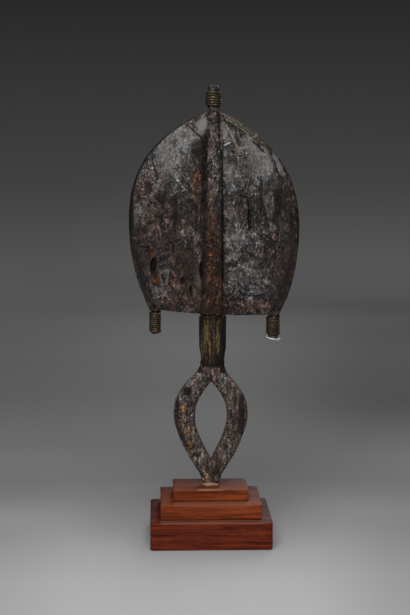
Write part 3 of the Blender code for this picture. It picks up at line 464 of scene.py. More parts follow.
# Dark patches of the lozenge: smoke black, with painted shade along the arms' outer edges, and a darker
# band just under the sheath
STEM_SOOT_AND_SHADE_PATCHES = (
    (-0.0242, 0.1546, 0.0051, 0.0045, 0, 0.90), (-0.0243, 0.1330, 0.0014, 0.0031, 0, 1.00),
    (-0.0335, 0.1360, 0.0026, 0.0186, 0, 0.80), (-0.0285, 0.1076, 0.0027, 0.0228, -25, 0.70),
    (0.0321, 0.1321, 0.0033, 0.0269, 0, 0.80), (0.0292, 0.1145, 0.0035, 0.0124, 20, 0.60),
    (0.0251, 0.1436, 0.0016, 0.0062, 0, 0.80), (0.0064, 0.0735, 0.0041, 0.0094, 25, 0.70),
    (-0.0131, 0.1772, 0.0043, 0.0047, 30, 1.00), (0.0143, 0.1771, 0.0047, 0.0049, -20, 1.10),
    (0.0027, 0.0887, 0.0020, 0.0083, 0, 0.50), (0.0210, 0.1301, 0.0022, 0.0083, 0, 0.60),
    (0.0027, 0.1815, 0.0150, 0.0028, 0, 1.00), (-0.0140, 0.1790, 0.0040, 0.0050, 0, 1.10),
    (0.0160, 0.1790, 0.0045, 0.0050, 0, 1.10),
)
# Rot holes and hollows: the last value is their depth
HOLLOWS = (
    (-0.0579, 0.2814, 0.0023, 0.0079, 5, 0.0042), (-0.0278, 0.2664, 0.0017, 0.0034, 0, 0.0030),
    (-0.0194, 0.2566, 0.0012, 0.0051, 0, 0.0025), (-0.0092, 0.2776, 0.0016, 0.0090, 0, 0.0036),
    (0.0399, 0.3279, 0.0014, 0.0100, 0, 0.0040), (-0.0111, 0.3991, 0.0071, 0.0086, 0, 0.0013),
    (-0.0059, 0.3880, 0.0022, 0.0131, 0, 0.0016),
)
# Cracks and flake edges as lines of (x, height) points
CRACKS = (
    ((-0.0597, 0.3900), (-0.0562, 0.3804), (-0.0531, 0.3708)),
    ((-0.0633, 0.3950), (-0.0688, 0.3849), (-0.0749, 0.3678), (-0.0774, 0.3597)),
    ((-0.0228, 0.4236), (-0.0132, 0.4152), (-0.0091, 0.4117), (-0.0071, 0.4051)),
    ((-0.0186, 0.4257), (-0.0121, 0.4193)),
    ((0.0148, 0.4294), (0.0213, 0.4132), (0.0283, 0.3967)),
    ((0.0438, 0.4071), (0.0496, 0.4021), (0.0552, 0.3962)),
    ((0.0382, 0.3657), (0.0370, 0.3597), (0.0364, 0.3543)),
    ((0.0304, 0.3529), (0.0364, 0.3516), (0.0410, 0.3501)),
    ((0.0374, 0.3496), (0.0389, 0.3445), (0.0395, 0.3375)),
    ((0.0658, 0.3880), (0.0683, 0.3799), (0.0714, 0.3713)),
    ((0.0573, 0.2880), (0.0496, 0.2819)),
    ((0.0280, 0.2566), (0.0344, 0.2520), (0.0459, 0.2510), (0.0555, 0.2520)),
    ((0.0395, 0.2642), (0.0470, 0.2623)),
    ((0.0283, 0.2637), (0.0334, 0.2587), (0.0395, 0.2561)),
    ((-0.0425, 0.2637), (-0.0354, 0.2546), (-0.0278, 0.2431)),
    ((-0.0708, 0.3007), (-0.0617, 0.3003)),
    ((0.0123, 0.3981), (0.0125, 0.3476), (0.0130, 0.2667)),
    ((0.0162, 0.2465), (0.0202, 0.2385)),
)
RIDGES = (
    ((0.0438, 0.4088), (0.0496, 0.4041), (0.0552, 0.3981)),
    ((0.0753, 0.3105), (0.0688, 0.3011), (0.0627, 0.2916), (0.0564, 0.2869)),
    ((-0.0708, 0.3025), (-0.0617, 0.3021)),
    ((-0.0668, 0.3152), (-0.0587, 0.3112)),
    ((-0.0658, 0.3102), (-0.0587, 0.3061)),
    ((-0.0577, 0.2607), (-0.0445, 0.2627)),
    ((-0.0567, 0.2546), (-0.0455, 0.2566)),
    ((-0.0536, 0.2486), (-0.0476, 0.2496)),
    ((0.0167, 0.2849), (0.0223, 0.2890), (0.0304, 0.2981)),
    ((0.0172, 0.2784), (0.0233, 0.2768), (0.0283, 0.2809)),
)

UMBER = (0.034, 0.025, 0.021)
SLATE = (0.040, 0.036, 0.035)
CRUST_PINK = (0.094, 0.063, 0.054)
PALE_PINK = (0.125, 0.082, 0.070)
CHALK_PINK = (0.135, 0.114, 0.106)
CHALK_GREY = (0.112, 0.112, 0.111)
BLOOM = (0.172, 0.166, 0.161)
RUST = (0.050, 0.019, 0.010)
ORANGE_WOOD = (0.105, 0.043, 0.017)
RIB_RED = (0.030, 0.014, 0.0095)
SOOT_AND_SHADE_COLOUR = (0.007, 0.006, 0.005)
WORN_SLATE = (0.029, 0.023, 0.021)
GOLD_STAIN = (0.280, 0.172, 0.070)
STEM_GREY = (0.124, 0.088, 0.074)
# Strength of the crust's colour mottle, which also paints light on its crumbs and shade in its cracks
GRAIN_AND_CRUMB_SHADE_CONTRAST = 4.3


def ramp(value, start, end):
    """Smooth step from 0 at start to 1 at end."""
    share = np.clip((np.asarray(value, float) - start) / (end - start), 0.0, 1.0)
    return share * share * (3.0 - 2.0 * share)


def through(points, height):
    """Smooth curve through (height, value) points, read at heights."""
    heights = np.array([point[0] for point in points])
    values = np.array([point[1] for point in points])
    height = np.clip(np.asarray(height, float), heights[0], heights[-1])
    k = np.clip(np.searchsorted(heights, height) - 1, 0, len(points) - 2)
    slopes = np.gradient(values, heights)
    span = heights[k + 1] - heights[k]
    t = (height - heights[k]) / span
    return ((2 * t**3 - 3 * t**2 + 1) * values[k] + (t**3 - 2 * t**2 + t) * span * slopes[k]
            + (3 * t**2 - 2 * t**3) * values[k + 1] + (t**3 - t**2) * span * slopes[k + 1])


def spine(height):
    return (0.0007 + 0.0019 * ramp(height, 0.158, 0.188)
            + 0.0017 * ramp(height, 0.330, 0.392))


def stem_section(height):
    """Half width, half depth and corner radius of the foot, lozenge and neck."""
    half_x = through(STEM_OUTLINE, height)
    to_lozenge = ramp(height, 0.062, 0.080)
    to_neck = ramp(height, 0.158, 0.182)
    half_y = (FOOT_HALF_DEPTH + (LOZENGE_HALF_DEPTH - FOOT_HALF_DEPTH) * to_lozenge
              + (NECK_HALF_DEPTH - LOZENGE_HALF_DEPTH) * to_neck)
    corner = LOZENGE_CORNER + (np.maximum(half_x, half_y) - LOZENGE_CORNER) * to_neck
    return half_x, half_y, corner


def stem_ring(centre_x, centre_y, height, half_x, half_y, corner):
    """Rounded rectangle, up to a full oval, with points along its flats too."""
    corner_x = min(corner, half_x)
    corner_y = min(corner, half_y)
    ring = []
    for side_x, side_y, turn in ((1, 1, 0.0), (-1, 1, 90.0), (-1, -1, 180.0), (1, -1, 270.0)):
        for step in range(9):
            angle = math.radians(turn + 11.25 * step)
            ring.append((side_x * (half_x - corner_x) + corner_x * math.cos(angle),
                         side_y * (half_y - corner_y) + corner_y * math.sin(angle)))
    ring = np.array(ring + ring[:1])
    run = np.concatenate(([0.0], np.cumsum(np.hypot(*np.diff(ring, axis=0).T))))
    even = np.linspace(0.0, run[-1], 108, endpoint=False)
    return np.stack((centre_x + np.interp(even, run, ring[:, 0]),
                     centre_y + np.interp(even, run, ring[:, 1]), np.full(108, height)), axis=1)


def stem_mesh():
    """Foot, lozenge and neck, still without the opening, with a crusty skin."""
    rings = []
    heights = np.linspace(STEM_OUTLINE[0][0], STEM_OUTLINE[-1][0], 170)
    for height in heights:
        half_x, half_y, corner = stem_section(height)
        rings.append(stem_ring(float(spine(height)), 0.0, height, float(half_x), float(half_y),
                               float(corner)))
    half_x, half_y, corner = stem_section(heights[-1])
    rings.append(stem_ring(float(spine(CHIN_TOP)), -0.0035, CHIN_TOP, half_x * 0.75, half_y * 0.6, corner))
    rings = np.array(rings)
    points = rings.reshape(-1, 3)
    middle = np.stack((spine(points[:, 2]), np.zeros(len(points)), points[:, 2]), axis=1)
    outwards = points - middle
    outwards /= np.linalg.norm(outwards, axis=1, keepdims=True)
    in_sheath = ramp(points[:, 2], 0.176, 0.184)
    skin = rough_field(points, (0.0050, 0.0050, 0.0080), 21, 4) * 0.0007
    skin += rough_field(points, (0.0016, 0.0016, 0.0040), 27, 2) * 0.0003 - 0.0002
    points += outwards * (skin * (1.0 - 0.9 * in_sheath))[:, None]
    return loft("stem", points.reshape(rings.shape))


def opening_mesh():
    """Cutter for the lozenge's opening, flared where it leaves both faces, its walls uneven."""
    low, high = HOLE_OUTLINE[0][0], HOLE_OUTLINE[-1][0]
    middle = (low + high) / 2
    heights = np.linspace(low, high, 64)
    halves = through(HOLE_OUTLINE, heights)
    across = np.concatenate((-halves, halves[::-1]))
    level = np.concatenate((heights, heights[::-1]))
    deep = LOZENGE_HALF_DEPTH
    rings = []
    for y in np.concatenate(([-deep - 0.002], np.linspace(-deep, deep, 20), [deep + 0.002])):
        flare = max(0.0, abs(y) - deep + HOLE_CHAMFER)
        flare = flare * (1.0 if flare > 0.001 else 0.6)
        ring = np.stack((HOLE_CENTRE_X + across * (1.0 + flare / halves.max()), np.full(len(across), y),
                         middle + (level - middle) * (1.0 + flare / (high - middle))), axis=1)
        uneven = rough_field(ring, (0.0050, 0.0050, 0.0070), 31, 3) * 0.0005
        ring[:, 0] += uneven * ramp(np.abs(across), 0.0008, 0.0040) * np.sign(across)
        rings.append(ring)
    return loft("opening", rings)


# Outline of the head's right side above its widest height
OGIVE = np.array(interpolate_bezier(
    (HEAD_HALF, 0.0, HEAD_WIDEST), (HEAD_HALF, 0.0, HEAD_WIDEST + SIDE_HANDLE),
    (SHOULDER_HALF + SHOULDER_HANDLE[0], 0.0, HEAD_TOP - SHOULDER_HANDLE[1]),
    (SHOULDER_HALF, 0.0, HEAD_TOP), 64))


def head_half(height):
    """Half width of the leaf: an arc below the widest height, an ogive above it."""
    height = np.asarray(height, float)
    drop = np.clip(HEAD_WIDEST - height, 0.0, LOWER_ARC)
    arc = HEAD_HALF - LOWER_ARC + np.sqrt(LOWER_ARC**2 - drop**2)
    return np.where(height <= HEAD_WIDEST, arc, np.interp(height, OGIVE[:, 2], OGIVE[:, 0]))


def head_centre(height):
    return (0.0048 + 0.0013 * ramp(height, 0.236, 0.252) - 0.0008 * ramp(height, 0.262, 0.300)
            - 0.0022 * ramp(height, 0.300, 0.410))


def head_edge(height, side):
    extra = REBATE_EXTRA * ramp(height, 0.400, 0.412) * (1.0 - ramp(height, 0.420, 0.432))
    rebate = BINDING_REBATE * ramp(height, 0.392, 0.404) + extra if side > 0 else 0.0
    return head_centre(height) + side * (head_half(height) - rebate)


def face_y(x, height):
    """Front face of the head: hollow from side to side, its top curling forward."""
    across = (x - head_centre(height)) / HEAD_HALF
    curl = np.clip((height - CURL_START) / (HEAD_TOP - CURL_START), 0.0, None)
    return FACE_Y + DISH * across**2 + TOP_CURL * curl**2


def bevel_width(height, side):
    wide = 0.0035 + (0.0090 if side > 0 else 0.0060) * (1.0 - ramp(height, 0.240, 0.350))
    return np.minimum(wide, 0.25 * head_half(height))


def panel_y(x, height):
    """Back face of the head without its rib."""
    x, height = np.broadcast_arrays(np.asarray(x, float), np.asarray(height, float))
    right = x > head_centre(height)
    reach = np.abs(x - head_centre(height))
    thick = THICK_MIDDLE + (THICK_SIDE - THICK_MIDDLE) * np.clip(reach / HEAD_HALF, 0.0, 1.0)**2
    to_edge = np.where(right, head_edge(height, 1) - x, x - head_edge(height, -1))
    band = np.where(right, bevel_width(height, 1), bevel_width(height, -1))
    into_band = np.clip(1.0 - to_edge / band, 0.0, 1.0)
    return face_y(x, height) - thick - (THICK_EDGE - thick) * into_band


def rib_sides(height):
    """Left and right foot of the rib, which widens downwards."""
    left = -0.0094 + 0.0062 * ramp(height, 0.300, 0.375) + 0.0012 * ramp(height, 0.385, 0.420)
    right = 0.0130 - 0.0032 * ramp(height, 0.330, 0.425)
    return left, right


def patches(points, rows, ragged, soft):
    """How far points lie in any of the leaning ovals, their borders ragged."""
    share = np.zeros(len(points))
    noise = rough_field(points, (0.0045, 0.0200, 0.0045), 41, 4) * ragged
    for x, height, half_x, half_z, lean, strength in rows:
        turn = math.radians(lean)
        across, up = points[:, 0] - x, points[:, 2] - height
        reach = np.hypot((across * math.cos(turn) - up * math.sin(turn)) / half_x,
                         (across * math.sin(turn) + up * math.cos(turn)) / half_z)
        share = np.maximum(share, strength * ramp(-reach - noise, -1.0 - soft, -1.0 + soft))
    return share


def near_lines(points, rows, half_width):
    """1 on any of the lines, down to 0 at half_width from them, with a little wander."""
    share = np.zeros(len(points))
    wander = rough_field(points, (0.0040, 0.0200, 0.0040), 47, 2)[:, None] * 0.0005
    flat = points[:, (0, 2)] + wander
    for row in rows:
        for start, end in zip(row, row[1:]):
            start, along = np.array(start), np.array(end) - np.array(start)
            t = np.clip((flat - start) @ along / (along @ along), 0.0, 1.0)
            away = np.linalg.norm(flat - start - t[:, None] * along, axis=1)
            share = np.maximum(share, 1.0 - away / half_width)
    return share


def back_relief(points):
    """How far the weathered back lies under its carved surface, in metres."""
    x, height = points[:, 0], points[:, 2]
    left, right = rib_sides(height)
    on_rib = (x > left) & (x < right)
    calm = np.maximum(patches(points, WORN_SMOOTH, 0.15, 0.2), 0.55 * on_rib)
    edge = np.minimum(head_edge(height, 1) - x, x - head_edge(height, -1))
    inland = ramp(edge, 0.0010, 0.0070)
    crust = rough_field(points, (0.0060, 0.0300, 0.0080), 51, 4) * 0.00085
    crust += np.abs(rough_field(points, (0.0021, 0.0300, 0.0120), 57, 2)) * 0.00055
    crust += rough_field(points, (0.0017, 0.0300, 0.0017), 61, 2) * 0.00022
    depth = crust * (1.0 - 0.75 * calm) * (0.15 + 0.85 * inland)
    depth += rough_field(points, (0.0260, 0.0300, 0.0320), 67, 2) * 0.0008 * inland
    depth += rough_field(points, (0.0110, 0.0300, 0.0080), 69, 2) * 0.0008 * inland * (1.0 - 0.75 * calm)
    depth += 0.0010 * ramp(near_lines(points, CRACKS, 0.0011), 0.0, 0.9)
    depth -= 0.0007 * ramp(near_lines(points, RIDGES, 0.0012), 0.0, 1.0)
    for row in HOLLOWS:
        depth += row[5] * patches(points, (row[:5] + (1.0,),), 0.25, 0.3)
    return depth


def head_mesh():
    """The leaf, from rings that are coarse over the face and fine over the back."""
    height = np.linspace(HEAD_BOTTOM, HEAD_TOP, HEAD_ROWS)[:, None]
    left, right = head_edge(height, -1), head_edge(height, 1)
    inset = 0.0006
    face_x = right - inset + (left - right + 2 * inset) * np.linspace(0.0, 1.0, FACE_COLUMNS)
    back_x = left + inset + (right - left - 2 * inset) * np.linspace(0.0, 1.0, BACK_COLUMNS)
    rib_left, rib_right = rib_sides(height)
    share = np.clip((back_x - rib_left) / (rib_right - rib_left), 0.0, 1.0)
    crown = np.sqrt(np.clip(1.0 - (2.0 * share - 1.0)**2, 0.0, None))
    groove = (GROOVE_DEPTH * ramp(height, 0.295, 0.340) * (1.0 - ramp(height, 0.400, 0.430))
              * ramp(back_x, rib_left - 0.0040, rib_left - 0.0012) * (back_x < rib_left))
    back_y = panel_y(back_x, height) - RIB_HEIGHT * crown + groove
    edges = []
    for side, x in ((1, right), (-1, left)):
        mid = face_y(x, height) - THICK_EDGE / 2
        near = x - side * 0.0002
        edges.append([(near, mid - side * 0.0010), (x, mid), (near, mid + side * 0.0010)])
    wide = [edges[0][0][0], edges[0][1][0], edges[0][2][0], face_x,
            edges[1][0][0], edges[1][1][0], edges[1][2][0], back_x]
    deep = [edges[0][0][1], edges[0][1][1], edges[0][2][1], face_y(face_x, height),
            edges[1][0][1], edges[1][1][1], edges[1][2][1], back_y]
    x, y = np.concatenate(wide, axis=1), np.concatenate(deep, axis=1)
    z = np.broadcast_to(height, x.shape)
    rings = np.stack((x, y, z), axis=2)
    mesh = loft("head", rings)
    work = bmesh.new()
    work.from_mesh(mesh)
    bmesh.ops.triangulate(work, faces=[face for face in work.faces if len(face.verts) > 4])
    work.to_mesh(mesh)
    work.free()
    across = (x - head_centre(z)) / head_half(z)
    rings[:, :, 2] += ((BOTTOM_ARC * across**2 - BOTTOM_TILT * across)
                       * (1.0 - ramp(z, HEAD_BOTTOM, HEAD_BOTTOM + 0.035)))
    back = rings[:, -BACK_COLUMNS:].reshape(-1, 3)
    rings[:, -BACK_COLUMNS:, 1] += back_relief(back).reshape(HEAD_ROWS, BACK_COLUMNS)
    mesh.vertices.foreach_set("co", rings.ravel())
    return mesh


def turned_mesh(name, profile, place, count=40):
    """Turned about an upright axis from (radius, height) points that run from bottom to top."""
    angles = np.linspace(0.0, 2.0 * math.pi, count, endpoint=False)
    rings = []
    for radius, height in profile:
        rings.append(np.stack((place[0] + radius * np.cos(angles), place[1] + radius * np.sin(angles),
                               np.full(count, height)), axis=1))
    return loft(name, rings)


def topknot_mesh():
    low, high = TOPKNOT_WIRE
    profile = [(0.0064, 0.4260), (0.0064, 0.4340), (0.0061, low - 0.0008), (TOPKNOT_CORE, low - GAP),
               (TOPKNOT_CORE, high - 0.0010), (0.0062, high + 0.0004), (0.0062, high + 0.0018),
               (0.0059, high + 0.0030), (0.0052, high + 0.0041), (0.0043, high + 0.0048),
               (0.0034, high + 0.0053), (0.0022, high + 0.0055), (0.0008, high + 0.0056)]
    return turned_mesh("topknot", profile, TOPKNOT_PLACE)


def peg_mesh(name, place, wire_top):
    x, y, low, core, top = place
    profile = [(core - 0.0008, low), (core, low + 0.0006), (core, wire_top + 0.0002),
               (core + 0.0020, wire_top + 0.0006), (core + 0.0020, top)]
    return turned_mesh(name, profile, (x, y))


def joined(name, base, additions, cuts):
    """Base mesh with other closed meshes joined to it or cut from it."""
    body = bpy.data.objects.new(name, base)
    bpy.context.scene.collection.objects.link(body)
    guides = []
    steps = [(mesh, "UNION") for mesh in additions] + [(mesh, "DIFFERENCE") for mesh in cuts]
    for mesh, operation in steps:
        other = bpy.data.objects.new(mesh.name, mesh)
        bpy.context.scene.collection.objects.link(other)
        guides.append(other)
        step = body.modifiers.new(mesh.name, "BOOLEAN")
        step.operation = operation
        step.solver = "EXACT"
        step.object = other
    bpy.context.view_layer.update()
    graph = bpy.context.evaluated_depsgraph_get()
    made = bpy.data.meshes.new_from_object(body.evaluated_get(graph))
    for other in guides + [body]:
        bpy.data.objects.remove(other, do_unlink=True)
    made.name = name
    return made


def points_of(mesh):
    flat = np.zeros(len(mesh.vertices) * 3)
    mesh.vertices.foreach_get("co", flat)
    normal = np.zeros(len(mesh.vertices) * 3)
    mesh.vertices.foreach_get("normal", normal)
    return flat.reshape(-1, 3), normal.reshape(-1, 3)


def paint_figure(mesh):
    """Paints where the wood is chalky, rusty, blackened with smoke, worn smooth or stained gold, with
    painted shade in its holes and cracks, in the groove beside the rib and along the edges of the head and
    of the lozenge's arms.
    """
    points, normals = points_of(mesh)
    facing = ramp(-normals[:, 1], -0.1, 0.35)
    on_head = points[:, 2] > HEAD_BOTTOM - 0.004
    on_stem = points[:, 2] < HEAD_BOTTOM - 0.002
    chalk = patches(points, CHALKY, 0.55, 0.5) * on_head + patches(points, STEM_CHALKY, 0.5, 0.5) * on_stem
    paint(mesh, "chalky", chalk * facing)
    paint(mesh, "bloomed", patches(points, BLOOMED, 0.45, 0.7) * on_head * facing)
    paint(mesh, "rusty", patches(points, RUSTY, 0.5, 0.75) * on_head * facing)
    paint(mesh, "pinkish", patches(points, PINKISH, 0.5, 0.7) * on_head * facing)
    left, right = rib_sides(points[:, 2])
    on_rib = ramp(points[:, 0], left - 0.0006, left + 0.0014)
    on_rib *= ramp(-points[:, 0], -right - 0.0004, -right + 0.0014)
    paint(mesh, "rib", on_rib * on_head * facing * ramp(-points[:, 2], -0.350, -0.305))
    # Painted shade in the holes and along the cracks
    holes = patches(points, [row[:5] + (1.0,) for row in HOLLOWS[:5]], 0.3, 0.2)
    soot_and_shade = np.maximum(patches(points, SOOT_AND_SHADE_PATCHES, 0.5, 0.5), holes)
    soot_and_shade = np.maximum(soot_and_shade, ramp(near_lines(points, CRACKS, 0.0012), 0.1, 0.7))
    # Painted shade along the head's upper left edge
    soot_and_shade = np.maximum(soot_and_shade, 1.1 * ramp(head_edge(points[:, 2], -1) - points[:, 0], -0.0040, -0.0010)
                      * ramp(points[:, 2], 0.270, 0.330))
    # Painted shade in the groove left of the rib
    soot_and_shade = np.maximum(soot_and_shade, ramp(-np.abs(points[:, 0] - left + 0.0018), -0.0030, -0.0010)
                      * ramp(points[:, 2], 0.330, 0.350) * ramp(-points[:, 2], -0.427, -0.410)) * on_head
    # Smoke black on the lozenge and foot, with painted shade along the arms' outer edges and a darker band
    # just under the sheath
    soot_and_shade += patches(points, STEM_SOOT_AND_SHADE_PATCHES, 0.5, 0.5) * on_stem
    paint(mesh, "sooty", soot_and_shade * facing)
    paint(mesh, "worn_smooth", patches(points, WORN_SMOOTH, 0.25, 0.35) * on_head * facing)
    paint(mesh, "gold", patches(points, STEM_GOLD, 0.5, 0.5) * on_stem * facing)
    paint(mesh, "stem", on_stem)


def weighed(tree, *pairs):
    """Sum of patterns about their middle, each by its weight."""
    total = 0.0
    for value, weight in pairs:
        part = calc(tree, "MULTIPLY", calc(tree, "SUBTRACT", value, 0.5), weight)
        total = calc(tree, "ADD", part, total)
    return total


def crackle(tree, size, seed):
    """1 along the net of fine cracks of an old dry crust, its cells size metres across."""
    where = tree.nodes.get("Texture Coordinate")
    placed = node(tree, "ShaderNodeMapping", {"Vector": where.outputs["Object"], "Scale": [1.0 / size] * 3,
                                              "Location": (seed * 7.3, seed * 3.1, seed * 5.7)})
    wander = node(tree, "ShaderNodeTexNoise", {"Vector": placed.outputs[0], "Scale": 1.3, "Detail": 4.0})
    moved = node(tree, "ShaderNodeVectorMath", {0: wander.outputs["Color"], 1: (1.6, 1.6, 1.6),
                                                2: placed.outputs[0]}, operation="MULTIPLY_ADD")
    cells = node(tree, "ShaderNodeTexVoronoi", {"Vector": moved.outputs[0], "Scale": 1.0},
                 feature="DISTANCE_TO_EDGE")
    return between(tree, cells.outputs["Distance"], 0.0, 0.13, 1.0, 0.0)


def crusted_wood():
    finish, tree, shader = start_finish("crusted_wood")
    fine = cloud(tree, (0.0011, 0.0030, 0.0012), 6.0, 3.0)
    grit = cloud(tree, (0.0046, 0.0060, 0.0060), 7.0, 5.0, 2.2)
    coarse = cloud(tree, (0.0080, 0.0090, 0.0110), 8.0, 5.0, 1.6)
    broad = cloud(tree, (0.0240, 0.0300, 0.0300), 9.0, 3.0)
    leather = crackle(tree, 0.0038, 12.0)
    fibre = cloud(tree, (0.0013, 0.0030, 0.0120), 10.0, 3.0, 0.3)
    colour = layered(tree, between(tree, broad, 0.38, 0.62), UMBER, SLATE)
    colour = layered(tree, between(tree, coarse, 0.46, 0.66, 0.0, 0.7), colour, CRUST_PINK)
    pink = calc(tree, "ADD", painted(tree, "pinkish"), weighed(tree, (coarse, 1.6), (grit, 1.2)))
    colour = layered(tree, between(tree, pink, 0.10, 0.90, 0.0, 0.9), colour, PALE_PINK)
    stem = painted(tree, "stem")
    colour = layered(tree, calc(tree, "MULTIPLY", stem, between(tree, coarse, 0.32, 0.58, 0.35, 1.0)),
                     colour, STEM_GREY)
    worn = painted(tree, "worn_smooth")
    colour = layered(tree, calc(tree, "MULTIPLY", worn, 0.8), colour, WORN_SLATE)
    chalky = calc(tree, "ADD", painted(tree, "chalky"), weighed(tree, (coarse, 1.2), (grit, 0.4)))
    chalk = layered(tree, between(tree, broad, 0.42, 0.58), CHALK_PINK, CHALK_GREY)
    colour = layered(tree, between(tree, chalky, 0.10, 1.05), colour, chalk)
    bloomed = calc(tree, "ADD", painted(tree, "bloomed"), weighed(tree, (coarse, 0.9)))
    colour = layered(tree, between(tree, bloomed, 0.10, 1.05, 0.0, 0.95), colour, BLOOM)
    red = calc(tree, "MULTIPLY", painted(tree, "rib"), between(tree, grit, 0.66, 0.52, 0.35, 0.95))
    colour = layered(tree, red, colour, RIB_RED)
    streaked = calc(tree, "MULTIPLY", painted(tree, "rib"), between(tree, fibre, 0.54, 0.68, 0.0, 0.55))
    colour = layered(tree, streaked, colour, ORANGE_WOOD)
    rusty = calc(tree, "ADD", painted(tree, "rusty"), weighed(tree, (coarse, 0.9), (grit, 0.9)))
    wood = layered(tree, between(tree, grit, 0.42, 0.62), RUST, ORANGE_WOOD)
    wood = layered(tree, between(tree, painted(tree, "rusty"), 0.4, 1.0, 0.3, 1.0), RUST, wood)
    colour = layered(tree, between(tree, rusty, 0.05, 1.15, 0.0, 0.95), colour, wood)
    gold = calc(tree, "ADD", painted(tree, "gold"), weighed(tree, (coarse, 1.4), (grit, 1.6)))
    colour = layered(tree, between(tree, gold, 0.35, 1.25, 0.0, 0.9), colour, GOLD_STAIN)
    # Smoke black and painted shade, as painted on the points
    soot_and_shade = calc(tree, "ADD", painted(tree, "sooty"), weighed(tree, (coarse, 0.9)))
    colour = layered(tree, between(tree, soot_and_shade, 0.15, 0.95, 0.0, 0.92), colour, SOOT_AND_SHADE_COLOUR)
    calm = calc(tree, "SUBTRACT", 1.0, calc(tree, "MULTIPLY", worn, 0.6))
    calm = calc(tree, "MULTIPLY", calm, between(tree, painted(tree, "bloomed"), 0.1, 0.8, 1.0, 0.5))
    # Colour mottle: the crust's random tone, with painted light on its crumbs and painted shade in its fine
    # cracks, drawn from the same patterns as its bump
    split = calc(tree, "MULTIPLY", leather, between(tree, broad, 0.40, 0.60, -0.10, -0.34))
    grain = weighed(tree, (fine, 0.35), (grit, 0.90), (fibre, 0.55), (coarse, 1.10), (broad, 0.55))
    grain = calc(tree, "ADD", grain, split)
    finer = calc(tree, "MULTIPLY", stem, weighed(tree, (coarse, -0.60), (fibre, 0.30), (fine, 0.30)))
    grain = calc(tree, "ADD", grain, finer)
    sharper = between(tree, stem, 0.0, 1.0, GRAIN_AND_CRUMB_SHADE_CONTRAST, GRAIN_AND_CRUMB_SHADE_CONTRAST * 1.15)
    grain = calc(tree, "MULTIPLY", calc(tree, "MULTIPLY", grain, sharper), calm)
    dress(tree, shader, scaled(tree, colour, calc(tree, "POWER", math.e, grain)),
          between(tree, coarse, 0.3, 0.7, 0.48, 0.75), specular=0.22)
    height = weighed(tree, (fine, 0.5), (grit, 1.0), (fibre, 0.8))
    height = calc(tree, "MULTIPLY", calc(tree, "ADD", height, calc(tree, "MULTIPLY", split, 1.2)), calm)
    raise_surface(tree, shader, height, 0.0012, 1.0)
    return finish


figure_mesh = joined("carved_figure", head_mesh(),
                     [stem_mesh(), topknot_mesh(), peg_mesh("left_peg", LEFT_PEG, LEFT_PEG_WIRE[1]),
                      peg_mesh("right_peg", RIGHT_PEG, RIGHT_PEG_WIRE[1])], [opening_mesh()])
paint_figure(figure_mesh)
smooth(figure_mesh, 50.0)
set_in_place("carved_figure", figure_mesh, crusted_wood(), "crusted_wood", "figure_wood")

# Neck sheath: one piece of thin brass sheet bent round the neck, dark with age and rubbed gold in streaks.
# Its edges meet in a seam at the back, beside which the metal has worn through to dark red.
SHEATH_BOTTOM = 0.1822
SHEATH_TOP = 0.2307
SHEATH_SHEET = 0.0007
SHEATH_LIFT = 0.0006
SEAM_ANGLE = -88.0
BRASS_DARK = (0.012, 0.009, 0.007)
BRASS_OLIVE = (0.046, 0.034, 0.017)
BRASS_GOLD = (0.165, 0.110, 0.045)
OXIDE_RED = (0.035, 0.010, 0.007)
SHEATH_GOLD = (
    (-0.0043, 0.2095, 0.0030, 0.0245, 0, 0.80), (-0.0085, 0.1972, 0.0018, 0.0164, 0, 0.60),
    (0.0077, 0.2064, 0.0022, 0.0133, 0, 1.10), (-0.0006, 0.1992, 0.0007, 0.0266, 0, 1.30),
    (0.0067, 0.2258, 0.0020, 0.0061, 0, 0.50),
)
SHEATH_RED = (
    (0.0020, 0.2054, 0.0017, 0.0123, 0, 1.20), (0.0024, 0.2176, 0.0014, 0.0122, 0, 0.70),
    (0.0026, 0.1890, 0.0012, 0.0103, 0, 0.60),
)
# Dark patches: painted shade down both sides, a darker band along the top under the head, and dirt round
# the lower edge
SHEATH_DARK = (
    (0.0133, 0.2022, 0.0026, 0.0327, 0, 0.90), (-0.0104, 0.2023, 0.0016, 0.0327, 0, 0.60),
    (0.0016, 0.2289, 0.0122, 0.0020, 0, 0.90), (-0.0116, 0.1793, 0.0035, 0.0041, 0, 1.00),
    (0.0128, 0.1792, 0.0041, 0.0045, 0, 1.10), (0.0057, 0.1848, 0.0061, 0.0082, 0, 0.70),
    (-0.0060, 0.1835, 0.0080, 0.0035, 0, 0.60),
)


